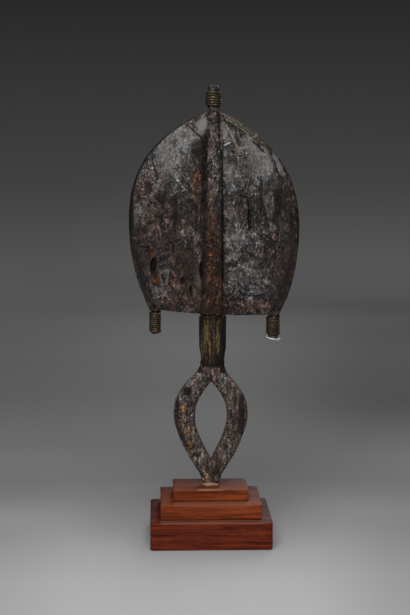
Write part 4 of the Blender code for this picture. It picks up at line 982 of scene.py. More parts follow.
def sheath_mesh():
    """Sheet with dents, a slightly open seam and a ragged upper edge, both faces of it."""
    rows, columns = 64, 150
    rings = []
    for row in range(rows):
        share = row / (rows - 1)
        height = SHEATH_BOTTOM + (SHEATH_TOP - SHEATH_BOTTOM) * share
        half_x, half_y, _ = stem_section(height)
        gap = 1.6 + 1.6 * math.exp(-((share - 0.52) / 0.22)**2)
        angles = np.radians(SEAM_ANGLE + gap + (360.0 - 2.0 * gap) * np.linspace(0.0, 1.0, columns))
        ring = []
        for lift in (SHEATH_LIFT + SHEATH_SHEET, SHEATH_LIFT):
            ring.append(np.stack((float(spine(height)) + (half_x + lift) * np.cos(angles),
                                  (half_y + lift) * np.sin(angles), np.full(columns, height)), axis=1))
        outer, inner = ring
        dents = rough_field(outer, (0.0040, 0.0060, 0.0120), 71, 3) * 0.00035
        dents -= 0.00030 * np.exp(-((share - 0.03) / 0.05)**2)
        for side in (outer, inner):
            side[:, :2] += (np.stack((np.cos(angles), np.sin(angles)), axis=1) * (dents - 0.00015)[:, None])
        ragged = rough_field(outer, (0.0030, 0.0030, 0.0300), 73, 3) * 0.0005 - 0.0003
        outer[:, 2] += ragged * ramp(share, 0.9, 1.0)
        inner[:, 2] += ragged * ramp(share, 0.9, 1.0)
        rings.append(np.concatenate((outer, inner[::-1])))
    mesh = loft("neck_sheath_sheet", rings)
    points, _ = points_of(mesh)
    at_back = points[:, 1] < 0.0
    paint(mesh, "gold", patches(points, SHEATH_GOLD, 0.4, 0.5) * at_back)
    paint(mesh, "red", patches(points, SHEATH_RED, 0.4, 0.4) * at_back)
    paint(mesh, "sooty", patches(points, SHEATH_DARK, 0.4, 0.5))
    smooth(mesh, 45.0)
    return mesh


def sheath_brass():
    finish, tree, shader = start_finish("sheath_brass")
    streaks = cloud(tree, (0.0013, 0.0030, 0.0150), 21.0, 4.0, 0.4)
    flecks = cloud(tree, (0.0012, 0.0014, 0.0030), 22.0, 3.0)
    stains = cloud(tree, (0.0060, 0.0060, 0.0110), 23.0)
    colour = layered(tree, between(tree, streaks, 0.36, 0.60), BRASS_DARK, BRASS_OLIVE)
    gold = calc(tree, "ADD", painted(tree, "gold"), weighed(tree, (streaks, 2.2), (flecks, 1.8)))
    colour = layered(tree, between(tree, gold, 0.35, 1.45, 0.0, 0.9), colour, BRASS_GOLD)
    red = calc(tree, "ADD", painted(tree, "red"), weighed(tree, (streaks, 1.0)))
    colour = layered(tree, between(tree, red, 0.3, 0.8, 0.0, 0.9), colour, OXIDE_RED)
    # Dirt and painted shade, as painted on the sheet
    soot_and_shade = calc(tree, "ADD", painted(tree, "sooty"), weighed(tree, (stains, 1.2)))
    colour = layered(tree, between(tree, soot_and_shade, 0.25, 1.0, 0.0, 0.9), colour, SOOT_AND_SHADE_COLOUR)
    grain = calc(tree, "POWER", math.e, weighed(tree, (streaks, 2.0), (flecks, 2.6)))
    dress(tree, shader, scaled(tree, colour, grain), between(tree, stains, 0.35, 0.65, 0.40, 0.62),
          metallic=0.35, specular=0.3)
    raise_surface(tree, shader, calc(tree, "ADD", streaks, flecks), 0.0007, 0.9)
    return finish


set_in_place("neck_sheath_sheet", sheath_mesh(), sheath_brass(), "neck_brass", "neck_sheath")

# Windings: brass wire wound tight round the topknot and round both pegs, turn on turn, dark in the grooves.
# The right peg's last turn has sprung loose and hangs below it, bare wire whose near-white colour is partly
# a painted highlight.
WIRE_BROWN = (0.030, 0.022, 0.013)
WIRE_GOLD = (0.170, 0.115, 0.050)
WIRE_GREEN = (0.045, 0.060, 0.042)
# Near-white bare wire of the loose turn, partly a painted highlight
BRIGHT_METAL_AND_GLINT = (0.640, 0.640, 0.600)
PITCH_SPARE = 0.94


def socket_of(tree, name):
    """Identifier of a tree's named input, by which a modifier's input is set."""
    return next(item.identifier for item in tree.interface.items_tree
                if item.item_type == "SOCKET" and item.in_out == "INPUT" and item.name == name)


def start_tree(name, inputs):
    """A geometry tree with named inputs, as (name, socket kind, value)."""
    tree = bpy.data.node_groups.new(name, "GeometryNodeTree")
    tree.interface.new_socket("Geometry", in_out="OUTPUT", socket_type="NodeSocketGeometry")
    for label, kind, value in inputs:
        made = tree.interface.new_socket(label, in_out="INPUT", socket_type=kind)
        if value is not None:
            made.default_value = value
    return tree, tree.nodes.new("NodeGroupInput"), tree.nodes.new("NodeGroupOutput")


def grown(name, tree, values):
    """Plain mesh that a geometry tree makes with these inputs."""
    source = bpy.data.objects.new(name, bpy.data.meshes.new(name))
    bpy.context.scene.collection.objects.link(source)
    step = source.modifiers.new("grown", "NODES")
    step.node_group = tree
    for label, value in values.items():
        step[socket_of(tree, label)] = value
    bpy.context.view_layer.update()
    graph = bpy.context.evaluated_depsgraph_get()
    mesh = bpy.data.meshes.new_from_object(source.evaluated_get(graph))
    bpy.data.objects.remove(source, do_unlink=True)
    mesh.name = name
    return mesh


def winding_tree(finish):
    """Wire wound round an upright core: a spiral that wavers a little, made solid."""
    tree, given, made = start_tree("wire_winding", [
        ("Place", "NodeSocketVector", (0.0, 0.0, 0.0)), ("Core Radius", "NodeSocketFloat", 0.004),
        ("Height", "NodeSocketFloat", 0.015), ("Turns", "NodeSocketFloat", 6.0),
        ("Wire Radius", "NodeSocketFloat", 0.001), ("Waver", "NodeSocketFloat", 0.0004)])
    reach = node(tree, "ShaderNodeMath", {0: given.outputs["Core Radius"], 1: given.outputs["Wire Radius"]},
                 operation="ADD")
    spiral = node(tree, "GeometryNodeCurveSpiral", {
        "Resolution": 40, "Rotations": given.outputs["Turns"], "Start Radius": reach.outputs[0],
        "End Radius": reach.outputs[0], "Height": given.outputs["Height"]})
    where = node(tree, "GeometryNodeInputPosition")
    noise = node(tree, "ShaderNodeTexNoise", {"Vector": where.outputs[0], "Scale": 160.0, "Detail": 1.0})
    level = node(tree, "ShaderNodeVectorMath", {0: noise.outputs["Color"], 1: (0.5, 0.5, 0.5)},
                 operation="SUBTRACT")
    waver = node(tree, "ShaderNodeVectorMath", {0: level.outputs[0], "Scale": given.outputs["Waver"]},
                 operation="SCALE")
    wavered = node(tree, "GeometryNodeSetPosition", {"Geometry": spiral.outputs[0],
                                                     "Offset": waver.outputs[0]})
    section = node(tree, "GeometryNodeCurvePrimitiveCircle", {"Resolution": 12,
                                                              "Radius": given.outputs["Wire Radius"]})
    wire = node(tree, "GeometryNodeCurveToMesh", {"Curve": wavered.outputs[0],
                                                  "Profile Curve": section.outputs[0], "Fill Caps": True})
    moved = node(tree, "GeometryNodeTransform", {"Geometry": wire.outputs[0],
                                                 "Translation": given.outputs["Place"]})
    real = node(tree, "GeometryNodeRealizeInstances", {"Geometry": moved.outputs[0]})
    dressed = node(tree, "GeometryNodeSetMaterial", {"Geometry": real.outputs[0], "Material": finish})
    tree.links.new(dressed.outputs[0], made.inputs[0])
    return tree


def wire_brass():
    finish, tree, shader = start_finish("wire_brass")
    rubbed = cloud(tree, (0.0022, 0.0022, 0.0012), 24.0, 3.0)
    green = cloud(tree, (0.0060, 0.0060, 0.0040), 25.0)
    colour = layered(tree, between(tree, rubbed, 0.48, 0.68), WIRE_BROWN, WIRE_GOLD)
    colour = layered(tree, between(tree, green, 0.54, 0.68, 0.0, 0.7), colour, WIRE_GREEN)
    dress(tree, shader, colour, between(tree, rubbed, 0.4, 0.7, 0.60, 0.38), metallic=0.55)
    raise_surface(tree, shader, rubbed, 0.0002, 0.8)
    return finish


def bright_wire():
    finish, tree, shader = start_finish("bright_wire")
    worn = cloud(tree, (0.0015, 0.0015, 0.0015), 26.0)
    colour = layered(tree, between(tree, worn, 0.50, 0.70, 0.0, 0.6), BRIGHT_METAL_AND_GLINT, (0.25, 0.23, 0.19))
    dress(tree, shader, colour, between(tree, worn, 0.4, 0.7, 0.30, 0.50), metallic=0.3)
    return finish


wound_brass = wire_brass()
winding = winding_tree(wound_brass)
for name, place, wire, core, turns in (
        ("topknot_wire", TOPKNOT_PLACE, TOPKNOT_WIRE, TOPKNOT_CORE, 5.7),
        ("left_peg_wire", LEFT_PEG, LEFT_PEG_WIRE, LEFT_PEG[3], 9.0),
        ("right_peg_wire", RIGHT_PEG, RIGHT_PEG_WIRE, RIGHT_PEG[3], 8.0)):
    thick = (wire[1] - wire[0]) / (turns + 1.0)
    mesh = grown(name + "_turns", winding, {
        "Place": (place[0], place[1], wire[0] + thick / 2), "Core Radius": core,
        "Height": wire[1] - wire[0] - thick, "Turns": turns, "Wire Radius": thick / 2 * PITCH_SPARE,
        "Waver": 0.0005})
    smooth(mesh, 60.0)
    set_in_place(name + "_turns", mesh, wound_brass, "brass_wire", name)


def wire_mesh(name, points, radius, flat=1.0, count=12):
    """Round or flattened wire through points, its ends rounded."""
    points = np.asarray(points, float)
    radius = np.broadcast_to(radius, len(points))
    run = np.gradient(points, axis=0)
    run /= np.linalg.norm(run, axis=1, keepdims=True)
    side = np.cross(run, (0.0, 1.0, 0.0))
    side /= np.linalg.norm(side, axis=1, keepdims=True)
    out = np.cross(side, run)
    ends = [(0, -0.9, 0.45), (0, -0.6, 0.8)], [(-1, 0.6, 0.8), (-1, 0.9, 0.45)]
    stations = ends[0] + [(k, 0.0, 1.0) for k in range(len(points))] + ends[1]
    angles = np.linspace(0.0, 2.0 * math.pi, count, endpoint=False)
    rings = []
    for k, slide, grow in stations:
        middle = points[k] + run[k] * slide * radius[k]
        rings.append(middle + radius[k] * grow * (np.cos(angles)[:, None] * side[k]
                                                  + flat * np.sin(angles)[:, None] * out[k]))
    mesh = loft(name, rings)
    work = bmesh.new()
    work.from_mesh(mesh)
    bmesh.ops.recalc_face_normals(work, faces=work.faces)
    work.to_mesh(mesh)
    work.free()
    smooth(mesh, 60.0)
    return mesh


def loose_turn_points():
    x, y, low, core, _ = RIGHT_PEG
    share = np.linspace(0.0, 1.0, 40)
    angle = np.radians(200.0 + 290.0 * share)
    reach = core + 0.0022
    return np.stack((x + reach * np.cos(angle), y + reach * np.sin(angle),
                     low + 0.0019 - 0.0026 * np.sin(math.pi * share)), axis=1)


shiny_wire = bright_wire()
set_in_place("loose_turn", wire_mesh("loose_turn", loose_turn_points(), 0.0008), shiny_wire,
             "bright_wire", "right_peg_loose_turn")

# Rim binding: a strip of brass folded over the head's upper right edge to hold the face's metal, crumpled.
# A narrow clip of the same brass is bent across it at half its length.
BINDING_FROM = 0.3990
BINDING_TO = 0.4335
BINDING_BACK = 0.0045
BINDING_FRONT = 0.0028
BINDING_LIFT = 0.0006
BINDING_SHEET = 0.0005
CLIP_HEIGHT = 0.4140
CLIP_HALF = 0.0009
CLIP_PROUD = 0.0010
BINDING_BROWN = (0.026, 0.019, 0.012)
BINDING_GOLD = (0.062, 0.046, 0.026)
BINDING_BRIGHT = (0.260, 0.205, 0.120)


def edge_frame(height):
    """A point on the head's right edge and the direction outwards from it."""
    low, high = height - 0.0008, np.minimum(height + 0.0008, HEAD_TOP)
    rise = high - low
    run = head_edge(high, 1) - head_edge(low, 1)
    length = np.hypot(rise, run)
    return head_edge(height, 1), rise / length, -run / length


def binding_line(height):
    """The strip's section from the back, round the edge, to the face, and the way out from each point."""
    x, out_x, out_z = (float(v) for v in edge_frame(height))
    bevel = -float(bevel_width(height, 1)) * out_x
    line = []
    for reach in np.concatenate((np.linspace(-BINDING_BACK, bevel, 8), np.linspace(bevel, 0.0, 8)[1:],
                                 [BINDING_LIFT])):
        held = min(reach, 0.0)
        across, level = x + out_x * held, min(height + out_z * held, HEAD_TOP)
        inside = min(across, float(head_edge(level, 1)) - 0.0006)
        line.append((x + out_x * reach, float(panel_y(inside, level)) - BINDING_LIFT,
                     height + out_z * reach))
    for reach in np.linspace(BINDING_LIFT, -BINDING_FRONT, 7):
        held = min(reach, 0.0)
        across, level = x + out_x * held, min(height + out_z * held, HEAD_TOP)
        line.append((x + out_x * reach, float(face_y(across, level)) + 0.0005, height + out_z * reach))
    outwards = np.zeros((len(line), 3))
    outwards[:16, 1] = -1.0
    outwards[16:, 1] = 1.0
    outwards[15:17] = (out_x, 0.0, out_z)
    return np.array(line), outwards


def binding_mesh():
    """The folded strip, with dents, and the clip across it."""
    rings = []
    for height in np.linspace(BINDING_FROM, BINDING_TO, 70):
        line, outwards = binding_line(height)
        dents = np.abs(rough_field(line, (0.0030, 0.0100, 0.0030), 81, 3)) * 0.00045
        rings.append(np.concatenate((line + outwards * (BINDING_SHEET + dents)[:, None], line[::-1])))
    clip_rings = []
    for height in np.linspace(CLIP_HEIGHT - CLIP_HALF, CLIP_HEIGHT + CLIP_HALF, 5):
        line, outwards = (part[:18] for part in binding_line(height))
        clip_rings.append(np.concatenate((line + outwards * (BINDING_SHEET + CLIP_PROUD),
                                          (line + outwards * 0.0002)[::-1])))
    mesh = loft("edge_binding", rings)
    work = bmesh.new()
    work.from_mesh(mesh)
    work.from_mesh(loft("binding_clip", clip_rings))
    bmesh.ops.recalc_face_normals(work, faces=work.faces)
    work.to_mesh(mesh)
    work.free()
    # Rubbed brass and painted highlight: the strip's inner edge on the back, the fold over the edge and the
    # clip are painted bright
    rubbed = np.zeros((70, len(rings[0])))
    rubbed[:, 0:2] = 1.0
    rubbed[:, 14:17] = 0.15
    paint(mesh, "rubbed", np.concatenate((rubbed.ravel(), np.full(5 * len(clip_rings[0]), 0.8))))
    smooth(mesh, 40.0)
    return mesh


def binding_brass():
    finish, tree, shader = start_finish("binding_brass")
    rubbed = cloud(tree, (0.0022, 0.0040, 0.0022), 27.0, 3.0)
    stains = cloud(tree, (0.0060, 0.0060, 0.0060), 28.0)
    colour = layered(tree, between(tree, rubbed, 0.42, 0.66), BINDING_BROWN, BINDING_GOLD)
    colour = layered(tree, between(tree, stains, 0.50, 0.66, 0.0, 0.8), colour, UMBER)
    # Rubbed brass and painted highlight, where painted on the strip
    bright = calc(tree, "MULTIPLY", painted(tree, "rubbed"), between(tree, rubbed, 0.36, 0.58, 0.2, 0.9))
    colour = layered(tree, bright, colour, BINDING_BRIGHT)
    dress(tree, shader, colour, between(tree, rubbed, 0.4, 0.7, 0.58, 0.40), metallic=0.4)
    raise_surface(tree, shader, rubbed, 0.0003, 0.8)
    return finish


rim_brass = binding_brass()
set_in_place("edge_binding", binding_mesh(), rim_brass, "trim_brass", "rim_binding")

# Back trim: a flat brass strip, a small staple and a copper wire hang down the back from the topknot.
# A pale steel pin is pushed in beside the rib, its pale colour partly a painted highlight.
STRIP_TAN = (0.060, 0.050, 0.032)
STRIP_LIGHT = (0.170, 0.145, 0.095)
COPPER = (0.080, 0.050, 0.032)
COPPER_RUBBED = (0.210, 0.150, 0.100)
PIN_GREY = (0.270, 0.310, 0.300)
PIN_LIGHT = (0.500, 0.560, 0.540)


def back_line(points, lift, count):
    """Points on a smooth line over the back, from a few (x, height) points."""
    along = np.linspace(0.0, len(points) - 1.0, count)
    x = through([(n, p[0]) for n, p in enumerate(points)], along)
    height = through([(n, p[1]) for n, p in enumerate(points)], along)
    return np.stack((x, panel_y(x, height) - lift, height), axis=1)


def trim_metal(name, dull, rubbed, metallic, seed):
    finish, tree, shader = start_finish(name)
    wear = cloud(tree, (0.0014, 0.0030, 0.0030), seed, 3.0)
    colour = layered(tree, between(tree, wear, 0.42, 0.64), dull, rubbed)
    dress(tree, shader, colour, between(tree, wear, 0.4, 0.7, 0.60, 0.40), metallic)
    raise_surface(tree, shader, wear, 0.0002, 0.8)
    return finish


pale_brass = trim_metal("pale_brass", STRIP_TAN, STRIP_LIGHT, 0.3, 31.0)
dull_copper = trim_metal("dull_copper", COPPER, COPPER_RUBBED, 0.5, 32.0)
strip_line = back_line(((0.0166, 0.4240), (0.0225, 0.4120), (0.0300, 0.3960)), 0.0009, 40)
strip_half = np.linspace(0.0010, 0.0021, 40)
set_in_place("hanging_strip", wire_mesh("hanging_strip", strip_line, strip_half, 0.20), pale_brass,
             "trim_brass", "back_strip")
staple_line = back_line(((0.0285, 0.3936), (0.0325, 0.3940)), 0.0012, 14)
set_in_place("small_staple", wire_mesh("small_staple", staple_line, 0.0007), pale_brass,
             "trim_brass", "back_staple")
wire_line = back_line(((0.0318, 0.3915), (0.0345, 0.3820), (0.0372, 0.3740), (0.0392, 0.3700),
                       (0.0380, 0.3630), (0.0362, 0.3560)), 0.0009, 70)
set_in_place("hanging_wire", wire_mesh("hanging_wire", wire_line, 0.0007), dull_copper,
             "copper_wire", "back_wire")
pin_line = back_line(((0.0146, 0.4035), (0.0205, 0.4062)), 0.0012, 14)
# Pale steel of the pin, its light tone partly a painted highlight
pale_steel = trim_metal("pale_steel", PIN_GREY, PIN_LIGHT, 0.2, 35.0)
set_in_place("bright_pin", wire_mesh("bright_pin", pin_line, 0.0008), pale_steel,
             "bright_wire", "back_pin")

# Metal face, on the far side: thin brass strips laid across both halves of the leaf, a broad band between
# them, two domed studs for eyes and a narrow blade for the nose, all pinned and glued to the wood.
SKIN_LIFT = 0.0005
SKIN_SHEET = 0.0008
STRIP_PITCH = 0.0031
STRIPS_FROM = 0.2397
STRIPS_TO = 0.4245
BAND_HALF = 0.0085
BAND_FROM = 0.2470
BAND_TO = 0.4265
EYE_HEIGHT = 0.2900
EYE_RADIUS = 0.0080
EYE_X = 0.0125
FACE_BRASS = (0.420, 0.250, 0.090)
FACE_DULL = (0.150, 0.085, 0.035)
FACE_DARK = (0.050, 0.032, 0.016)


def strip_start(height):
    return BAND_HALF + 0.0010 + 0.0090 * (1.0 - ramp(height, 0.242, 0.252))


def strip_end(height):
    low = 0.0026 * (1.0 - ramp(height, 0.240, 0.262))
    return head_half(height) - 0.0020 - low - 0.0075 * ramp(height, 0.380, 0.392)


def face_side_mesh(side):
    """The part of the face that one side's strips cover, as a surface to lay them on."""
    heights = np.linspace(STRIPS_FROM, STRIPS_TO, 200)[:, None]
    share = np.linspace(0.0, 1.0, 60)
    start, end = strip_start(heights), strip_end(heights)
    x = head_centre(heights) + side * (start + (end - start) * share)
    points = np.stack((x, face_y(x, heights), np.broadcast_to(heights, x.shape)), axis=2)
    index = np.arange(200 * 60).reshape(200, 60)
    faces = np.stack((index[:-1, :-1], index[:-1, 1:], index[1:, 1:], index[1:, :-1]), axis=-1)
    mesh = bpy.data.meshes.new("face_side")
    mesh.from_pydata(points.reshape(-1, 3).tolist(), [], faces.reshape(-1, 4).tolist())
    return mesh


def strips_tree(finish):
    """Level strips laid on a surface: lines thrown onto it, cut at its edge and given a flat section."""
    tree, given, made = start_tree("laid_strips", [
        ("Surface", "NodeSocketObject", None), ("From", "NodeSocketFloat", 0.0),
        ("Count", "NodeSocketInt", 10), ("Pitch", "NodeSocketFloat", 0.003),
        ("Reach", "NodeSocketFloat", 0.1), ("Thickness", "NodeSocketFloat", 0.0008),
        ("Lift", "NodeSocketFloat", 0.0005)])
    start = node(tree, "ShaderNodeCombineXYZ", {"Y": 0.2, "Z": given.outputs["From"]})
    rise = node(tree, "ShaderNodeCombineXYZ", {"Z": given.outputs["Pitch"]})
    levels = node(tree, "GeometryNodeMeshLine", {
        "Count": given.outputs["Count"], "Start Location": start.outputs[0], "Offset": rise.outputs[0]})
    end = node(tree, "ShaderNodeCombineXYZ", {"X": given.outputs["Reach"]})
    line = node(tree, "GeometryNodeCurvePrimitiveLine", {"Start": (0.0, 0.0, 0.0), "End": end.outputs[0]})
    laid = node(tree, "GeometryNodeInstanceOnPoints", {"Points": levels.outputs[0],
                                                       "Instance": line.outputs[0]})
    lines = node(tree, "GeometryNodeRealizeInstances", {"Geometry": laid.outputs[0]})
    even = node(tree, "GeometryNodeResampleCurve", {"Curve": lines.outputs[0], "Count": 130})
    surface = node(tree, "GeometryNodeObjectInfo", {"Object": given.outputs["Surface"]})
    thrown = node(tree, "GeometryNodeRaycast", {"Target Geometry": surface.outputs["Geometry"],
                                                "Ray Direction": (0.0, -1.0, 0.0), "Ray Length": 1.0})
    missed = node(tree, "FunctionNodeBooleanMath", {0: thrown.outputs["Is Hit"]}, operation="NOT")
    cut = node(tree, "GeometryNodeDeleteGeometry", {"Geometry": even.outputs[0],
                                                    "Selection": missed.outputs[0]})
    lift = node(tree, "ShaderNodeCombineXYZ", {"Y": given.outputs["Lift"]})
    on_face = node(tree, "GeometryNodeSetPosition", {"Geometry": cut.outputs[0],
                                                     "Position": thrown.outputs["Hit Position"],
                                                     "Offset": lift.outputs[0]})
    upright = node(tree, "GeometryNodeSetCurveNormal", {"Curve": on_face.outputs[0]}, mode="Z_UP")
    circle = node(tree, "GeometryNodeCurvePrimitiveCircle", {"Resolution": 10, "Radius": 1.0})
    half_pitch = node(tree, "ShaderNodeMath", {0: given.outputs["Pitch"], 1: 0.49}, operation="MULTIPLY")
    half_thick = node(tree, "ShaderNodeMath", {0: given.outputs["Thickness"], 1: 0.5}, operation="MULTIPLY")
    flat = node(tree, "ShaderNodeCombineXYZ", {"X": half_thick.outputs[0], "Y": half_pitch.outputs[0],
                                               "Z": 1.0})
    section = node(tree, "GeometryNodeTransform", {"Geometry": circle.outputs[0], "Scale": flat.outputs[0]})
    strips = node(tree, "GeometryNodeCurveToMesh", {"Curve": upright.outputs[0],
                                                    "Profile Curve": section.outputs[0], "Fill Caps": True})
    real = node(tree, "GeometryNodeRealizeInstances", {"Geometry": strips.outputs[0]})
    dressed = node(tree, "GeometryNodeSetMaterial", {"Geometry": real.outputs[0], "Material": finish})
    tree.links.new(dressed.outputs[0], made.inputs[0])
    return tree


def face_metal():
    finish, tree, shader = start_finish("face_brass")
    tarnish = cloud(tree, (0.0160, 0.0160, 0.0100), 33.0, 4.0)
    flecks = cloud(tree, (0.0024, 0.0024, 0.0012), 34.0, 3.0)
    colour = layered(tree, between(tree, tarnish, 0.36, 0.64), FACE_DULL, FACE_BRASS)
    colour = layered(tree, between(tree, flecks, 0.54, 0.72, 0.0, 0.8), colour, FACE_DARK)
    dress(tree, shader, colour, between(tree, flecks, 0.35, 0.7, 0.34, 0.60), metallic=0.9)
    raise_surface(tree, shader, flecks, 0.0002, 0.7)
    return finish


face_brass = face_metal()
laying = strips_tree(face_brass)
strip_count = round((STRIPS_TO - STRIPS_FROM) / STRIP_PITCH)
for side, name in ((-1, "face_strips_left"), (1, "face_strips_right")):
    surface = bpy.data.objects.new("surface", face_side_mesh(side))
    bpy.context.scene.collection.objects.link(surface)
    mesh = grown(name + "_laid", laying, {
        "Surface": surface, "From": STRIPS_FROM + STRIP_PITCH / 2, "Count": strip_count,
        "Pitch": STRIP_PITCH, "Reach": side * 0.1, "Thickness": 0.0011,
        "Lift": SKIN_LIFT + 0.0006})
    bpy.data.objects.remove(surface, do_unlink=True)
    smooth(mesh, 50.0)
    set_in_place(name + "_laid", mesh, face_brass, "face_brass", name)


def band_mesh():
    """Broad band with a low crease, lightly hammered."""
    heights = np.linspace(BAND_FROM, BAND_TO, 150)[:, None]
    half = np.minimum(BAND_HALF, 0.55 * head_half(heights))
    share = np.linspace(-1.0, 1.0, 25)
    x = head_centre(heights) + half * share
    y = face_y(x, heights) + SKIN_LIFT + 0.0008 * (1.0 - np.abs(share))
    front = np.stack((x, y + SKIN_SHEET, np.broadcast_to(heights, x.shape)), axis=2)
    hammered = rough_field(front.reshape(-1, 3), (0.0060, 0.0100, 0.0060), 91, 2).reshape(x.shape) * 0.0003
    front[:, :, 1] += hammered
    back = np.stack((x, y, np.broadcast_to(heights, x.shape)), axis=2)
    mesh = loft("middle_band", np.concatenate((front[:, ::-1], back), axis=1))
    smooth(mesh, 40.0)
    return mesh


set_in_place("middle_band", band_mesh(), face_brass, "face_brass", "face_band")

eye_front = SKIN_LIFT + SKIN_SHEET + 0.0005 + 2 * GAP
for side, name in ((-1, "left_eye"), (1, "right_eye")):
    dome = [(EYE_RADIUS, 0.0), (EYE_RADIUS, 0.0006), (EYE_RADIUS - 0.0005, 0.0011), (0.0071, 0.0012),
            (0.0066, 0.0018), (0.0058, 0.0028), (0.0046, 0.0037), (0.0032, 0.0043), (0.0018, 0.0046),
            (0.0013, 0.0048), (0.0008, 0.0048)]
    mesh = turned_mesh(name + "_stud", dome, (0.0, 0.0))
    eye_x = float(head_centre(EYE_HEIGHT)) + side * EYE_X
    eye_y = float(face_y(eye_x + side * EYE_RADIUS, EYE_HEIGHT)) + eye_front
    mesh.transform(Matrix.Translation((eye_x, eye_y, EYE_HEIGHT)) @ Matrix.Rotation(-math.pi / 2, 4, "X"))
    smooth(mesh, 40.0)
    set_in_place(name + "_stud", mesh, face_brass, "face_brass", name)


def nose_mesh():
    base = FACE_Y + SKIN_LIFT + SKIN_SHEET + 0.0008 + 2 * GAP
    middle = float(head_centre(0.270))
    stations = ((0.2500, 0.0095, 0.0020), (0.2540, 0.0100, 0.0019), (0.2700, 0.0060, 0.0016),
                (0.2860, 0.0025, 0.0013))
    rings = []
    for height in np.linspace(0.2500, 0.2860, 40):
        proud = float(through([(z, p) for z, p, _ in stations], height))
        half = float(through([(z, h) for z, _, h in stations], height))
        ring = []
        for across, out in ((1.0, 0.0), (0.9, 0.4), (0.75, 0.8), (0.5, 0.95), (0.0, 1.0),
                            (-0.5, 0.95), (-0.75, 0.8), (-0.9, 0.4), (-1.0, 0.0)):
            ring.append((middle + half * across, base + proud * out, height))
        rings.append(ring)
    mesh = loft("nose", rings)
    smooth(mesh, 50.0)
    return mesh


set_in_place("nose", nose_mesh(), face_brass, "face_brass", "nose_blade")

# Camera at the photograph's place, nearly square to the back and a little above the middle.
CAMERA_PLACE = (-0.05307, -1.55533, 0.41862)
CAMERA_TARGET = (-0.0051428, 0.0, 0.2392796)

camera = bpy.data.objects.new("camera", bpy.data.cameras.new("camera"))
camera.data.lens = 90.0
camera.data.sensor_width = 36.0
camera.location = CAMERA_PLACE
camera.rotation_euler = (Vector(CAMERA_TARGET) - Vector(CAMERA_PLACE)).to_track_quat("-Z", "Y").to_euler()
bpy.context.scene.collection.objects.link(camera)
bpy.context.scene.camera = camera

# Studio: a pale floor that rises into a grey backdrop all round, a soft light in front and one above.
STAGE_RADIUS = 2.6
STAGE_HEIGHT = 2.2
# Painted light of the paper by its run, standing in for the lamps' falloff: along Y near the object, then
# away from it over the floor and up the wall
PAPER_TONES = ((-0.40, 0.450), (-0.15, 0.445), (-0.06, 0.400), (0.03, 0.345), (0.10, 0.305), (0.18, 0.232),
               (0.26, 0.212), (0.40, 0.236), (0.60, 0.226), (0.90, 0.202), (1.20, 0.222), (1.60, 0.285),
               (1.85, 0.370), (2.15, 0.500), (2.45, 0.450), (2.80, 0.256), (3.10, 0.178), (3.40, 0.092))
PAPER_FROM = 0.5
PAPER_SPAN = 4.0
# Painted shade: the paper darkens towards its left and right by its bearing from this point, close to the
# camera
PAPER_EYE = (-0.053, -1.555)
COVE = 0.5


def stage_mesh():
    """Floor and backdrop as one bowl with a wide round cove."""
    profile = [(0.02, 0.0), (0.3, 0.0), (0.8, 0.0), (1.5, 0.0)]
    for step in range(13):
        angle = math.radians(7.5 * step)
        profile.append((STAGE_RADIUS - COVE + COVE * math.sin(angle), COVE - COVE * math.cos(angle)))
    profile.append((STAGE_RADIUS, STAGE_HEIGHT))
    angles = np.linspace(0.0, 2.0 * math.pi, 96, endpoint=False)
    rings = [np.stack((radius * np.cos(angles), radius * np.sin(angles), np.full(96, height)), axis=1)
             for radius, height in profile]
    mesh = loft("studio", rings, close=False)
    work = bmesh.new()
    work.from_mesh(mesh)
    bmesh.ops.holes_fill(work, edges=[e for e in work.edges if e.is_boundary and e.verts[0].co.z < 0.01])
    bmesh.ops.recalc_face_normals(work, faces=work.faces)
    bmesh.ops.reverse_faces(work, faces=work.faces)
    work.to_mesh(mesh)
    work.free()
    mesh.shade_smooth()
    return mesh


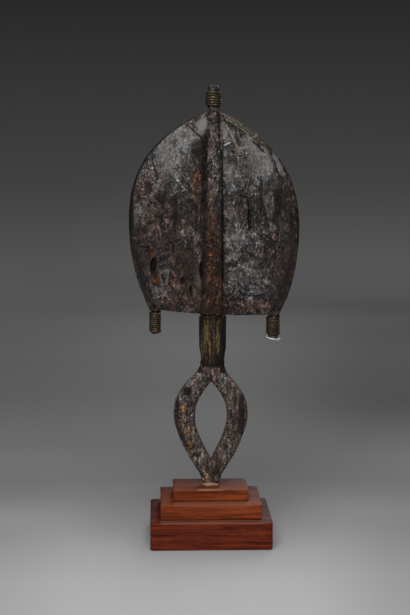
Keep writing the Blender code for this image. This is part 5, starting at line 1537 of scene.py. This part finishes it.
def studio_paper():
    """Grey paper with painted light: its tone rises and falls along the floor and up the wall, painted
    shade darkens it to the right and a little to the left, and a painted shadow lies round the plinth.
    """
    finish, tree, shader = start_finish("studio_paper")
    where = node(tree, "ShaderNodeTexCoord").outputs["Object"]
    x, y, z = node(tree, "ShaderNodeSeparateXYZ", {0: where}).outputs
    away = node(tree, "ShaderNodeVectorMath", {0: where, 1: (1.0, 1.0, 0.0)}, operation="MULTIPLY")
    reach = node(tree, "ShaderNodeVectorMath", {0: away.outputs[0]}, operation="LENGTH").outputs["Value"]
    far = between(tree, reach, 0.45, 0.90)
    along = calc(tree, "ADD", calc(tree, "MULTIPLY", calc(tree, "ADD", reach, z), far),
                 calc(tree, "MULTIPLY", y, calc(tree, "SUBTRACT", 1.0, far)))
    along = calc(tree, "DIVIDE", calc(tree, "ADD", along, PAPER_FROM), PAPER_SPAN)
    tones = node(tree, "ShaderNodeValToRGB", {"Fac": along})
    stops = tones.color_ramp.elements
    while len(stops) < len(PAPER_TONES):
        stops.new(0.5)
    for stop, (place, tone) in zip(stops, PAPER_TONES):
        stop.position = (place + PAPER_FROM) / PAPER_SPAN
        stop.color = (tone, tone, tone, 1.0)
    aside = calc(tree, "DIVIDE", calc(tree, "SUBTRACT", x, PAPER_EYE[0]),
                 calc(tree, "SUBTRACT", y, PAPER_EYE[1]))
    right = calc(tree, "MULTIPLY", between(tree, aside, 0.020, 0.155, 0.0, -0.44),
                 between(tree, y, 0.30, 0.80))
    right = calc(tree, "MULTIPLY", right, between(tree, y, 2.30, 1.50))
    left = calc(tree, "MULTIPLY", between(tree, aside, 0.010, -0.085, 0.0, -0.09),
                between(tree, y, 0.20, 0.50))
    left = calc(tree, "ADD", left, calc(tree, "MULTIPLY", between(tree, aside, -0.04, -0.12, 0.0, -0.15),
                                        between(tree, y, 0.10, 0.0)))
    right = calc(tree, "ADD", right, calc(tree, "MULTIPLY", between(tree, aside, 0.09, 0.17, 0.0, -0.22),
                                          between(tree, y, 0.20, 0.0)))
    sides = calc(tree, "MULTIPLY", calc(tree, "ADD", right, left), between(tree, z, 0.60, 0.05))
    behind = node(tree, "ShaderNodeVectorMath", {0: where, 1: (0.0, 0.08, 0.0)}, operation="DISTANCE")
    # Painted shadow of the plinth on the paper round it
    shade = between(tree, behind.outputs["Value"], 0.06, 0.19, 0.80, 1.0)
    strength = calc(tree, "MULTIPLY", calc(tree, "ADD", sides, 1.0), shade)
    dress(tree, shader, scaled(tree, tones.outputs["Color"], strength), 0.9, specular=0.1)
    return finish


studio = bpy.data.objects.new("studio", stage_mesh())
studio.data.materials.append(studio_paper())
bpy.context.scene.collection.objects.link(studio)


def soft_light(name, place, target, size, power):
    light = bpy.data.lights.new(name, "AREA")
    light.shape = "RECTANGLE"
    light.size, light.size_y = size
    light.energy = power
    made = bpy.data.objects.new(name, light)
    made.location = place
    made.rotation_euler = (Vector(target) - Vector(place)).to_track_quat("-Z", "Y").to_euler()
    bpy.context.scene.collection.objects.link(made)


soft_light("front_light", (-0.15, -1.05, 1.10), (0.0, 0.0, 0.25), (0.9, 0.6), 17.0)
soft_light("top_light", (0.0, 0.15, 1.7), (0.0, 0.0, 0.2), (1.2, 1.0), 7.0)
soft_light("face_light", (0.5, 1.5, 1.1), (0.0, 0.0, 0.3), (0.9, 0.9), 7.0)

world = bpy.data.worlds.new("studio_air")
world.use_nodes = True
world.node_tree.nodes["Background"].inputs["Color"].default_value = (1.0, 1.0, 1.0, 1.0)
world.node_tree.nodes["Background"].inputs["Strength"].default_value = 0.10
bpy.context.scene.world = world
bpy.context.scene.view_settings.view_transform = "Standard"
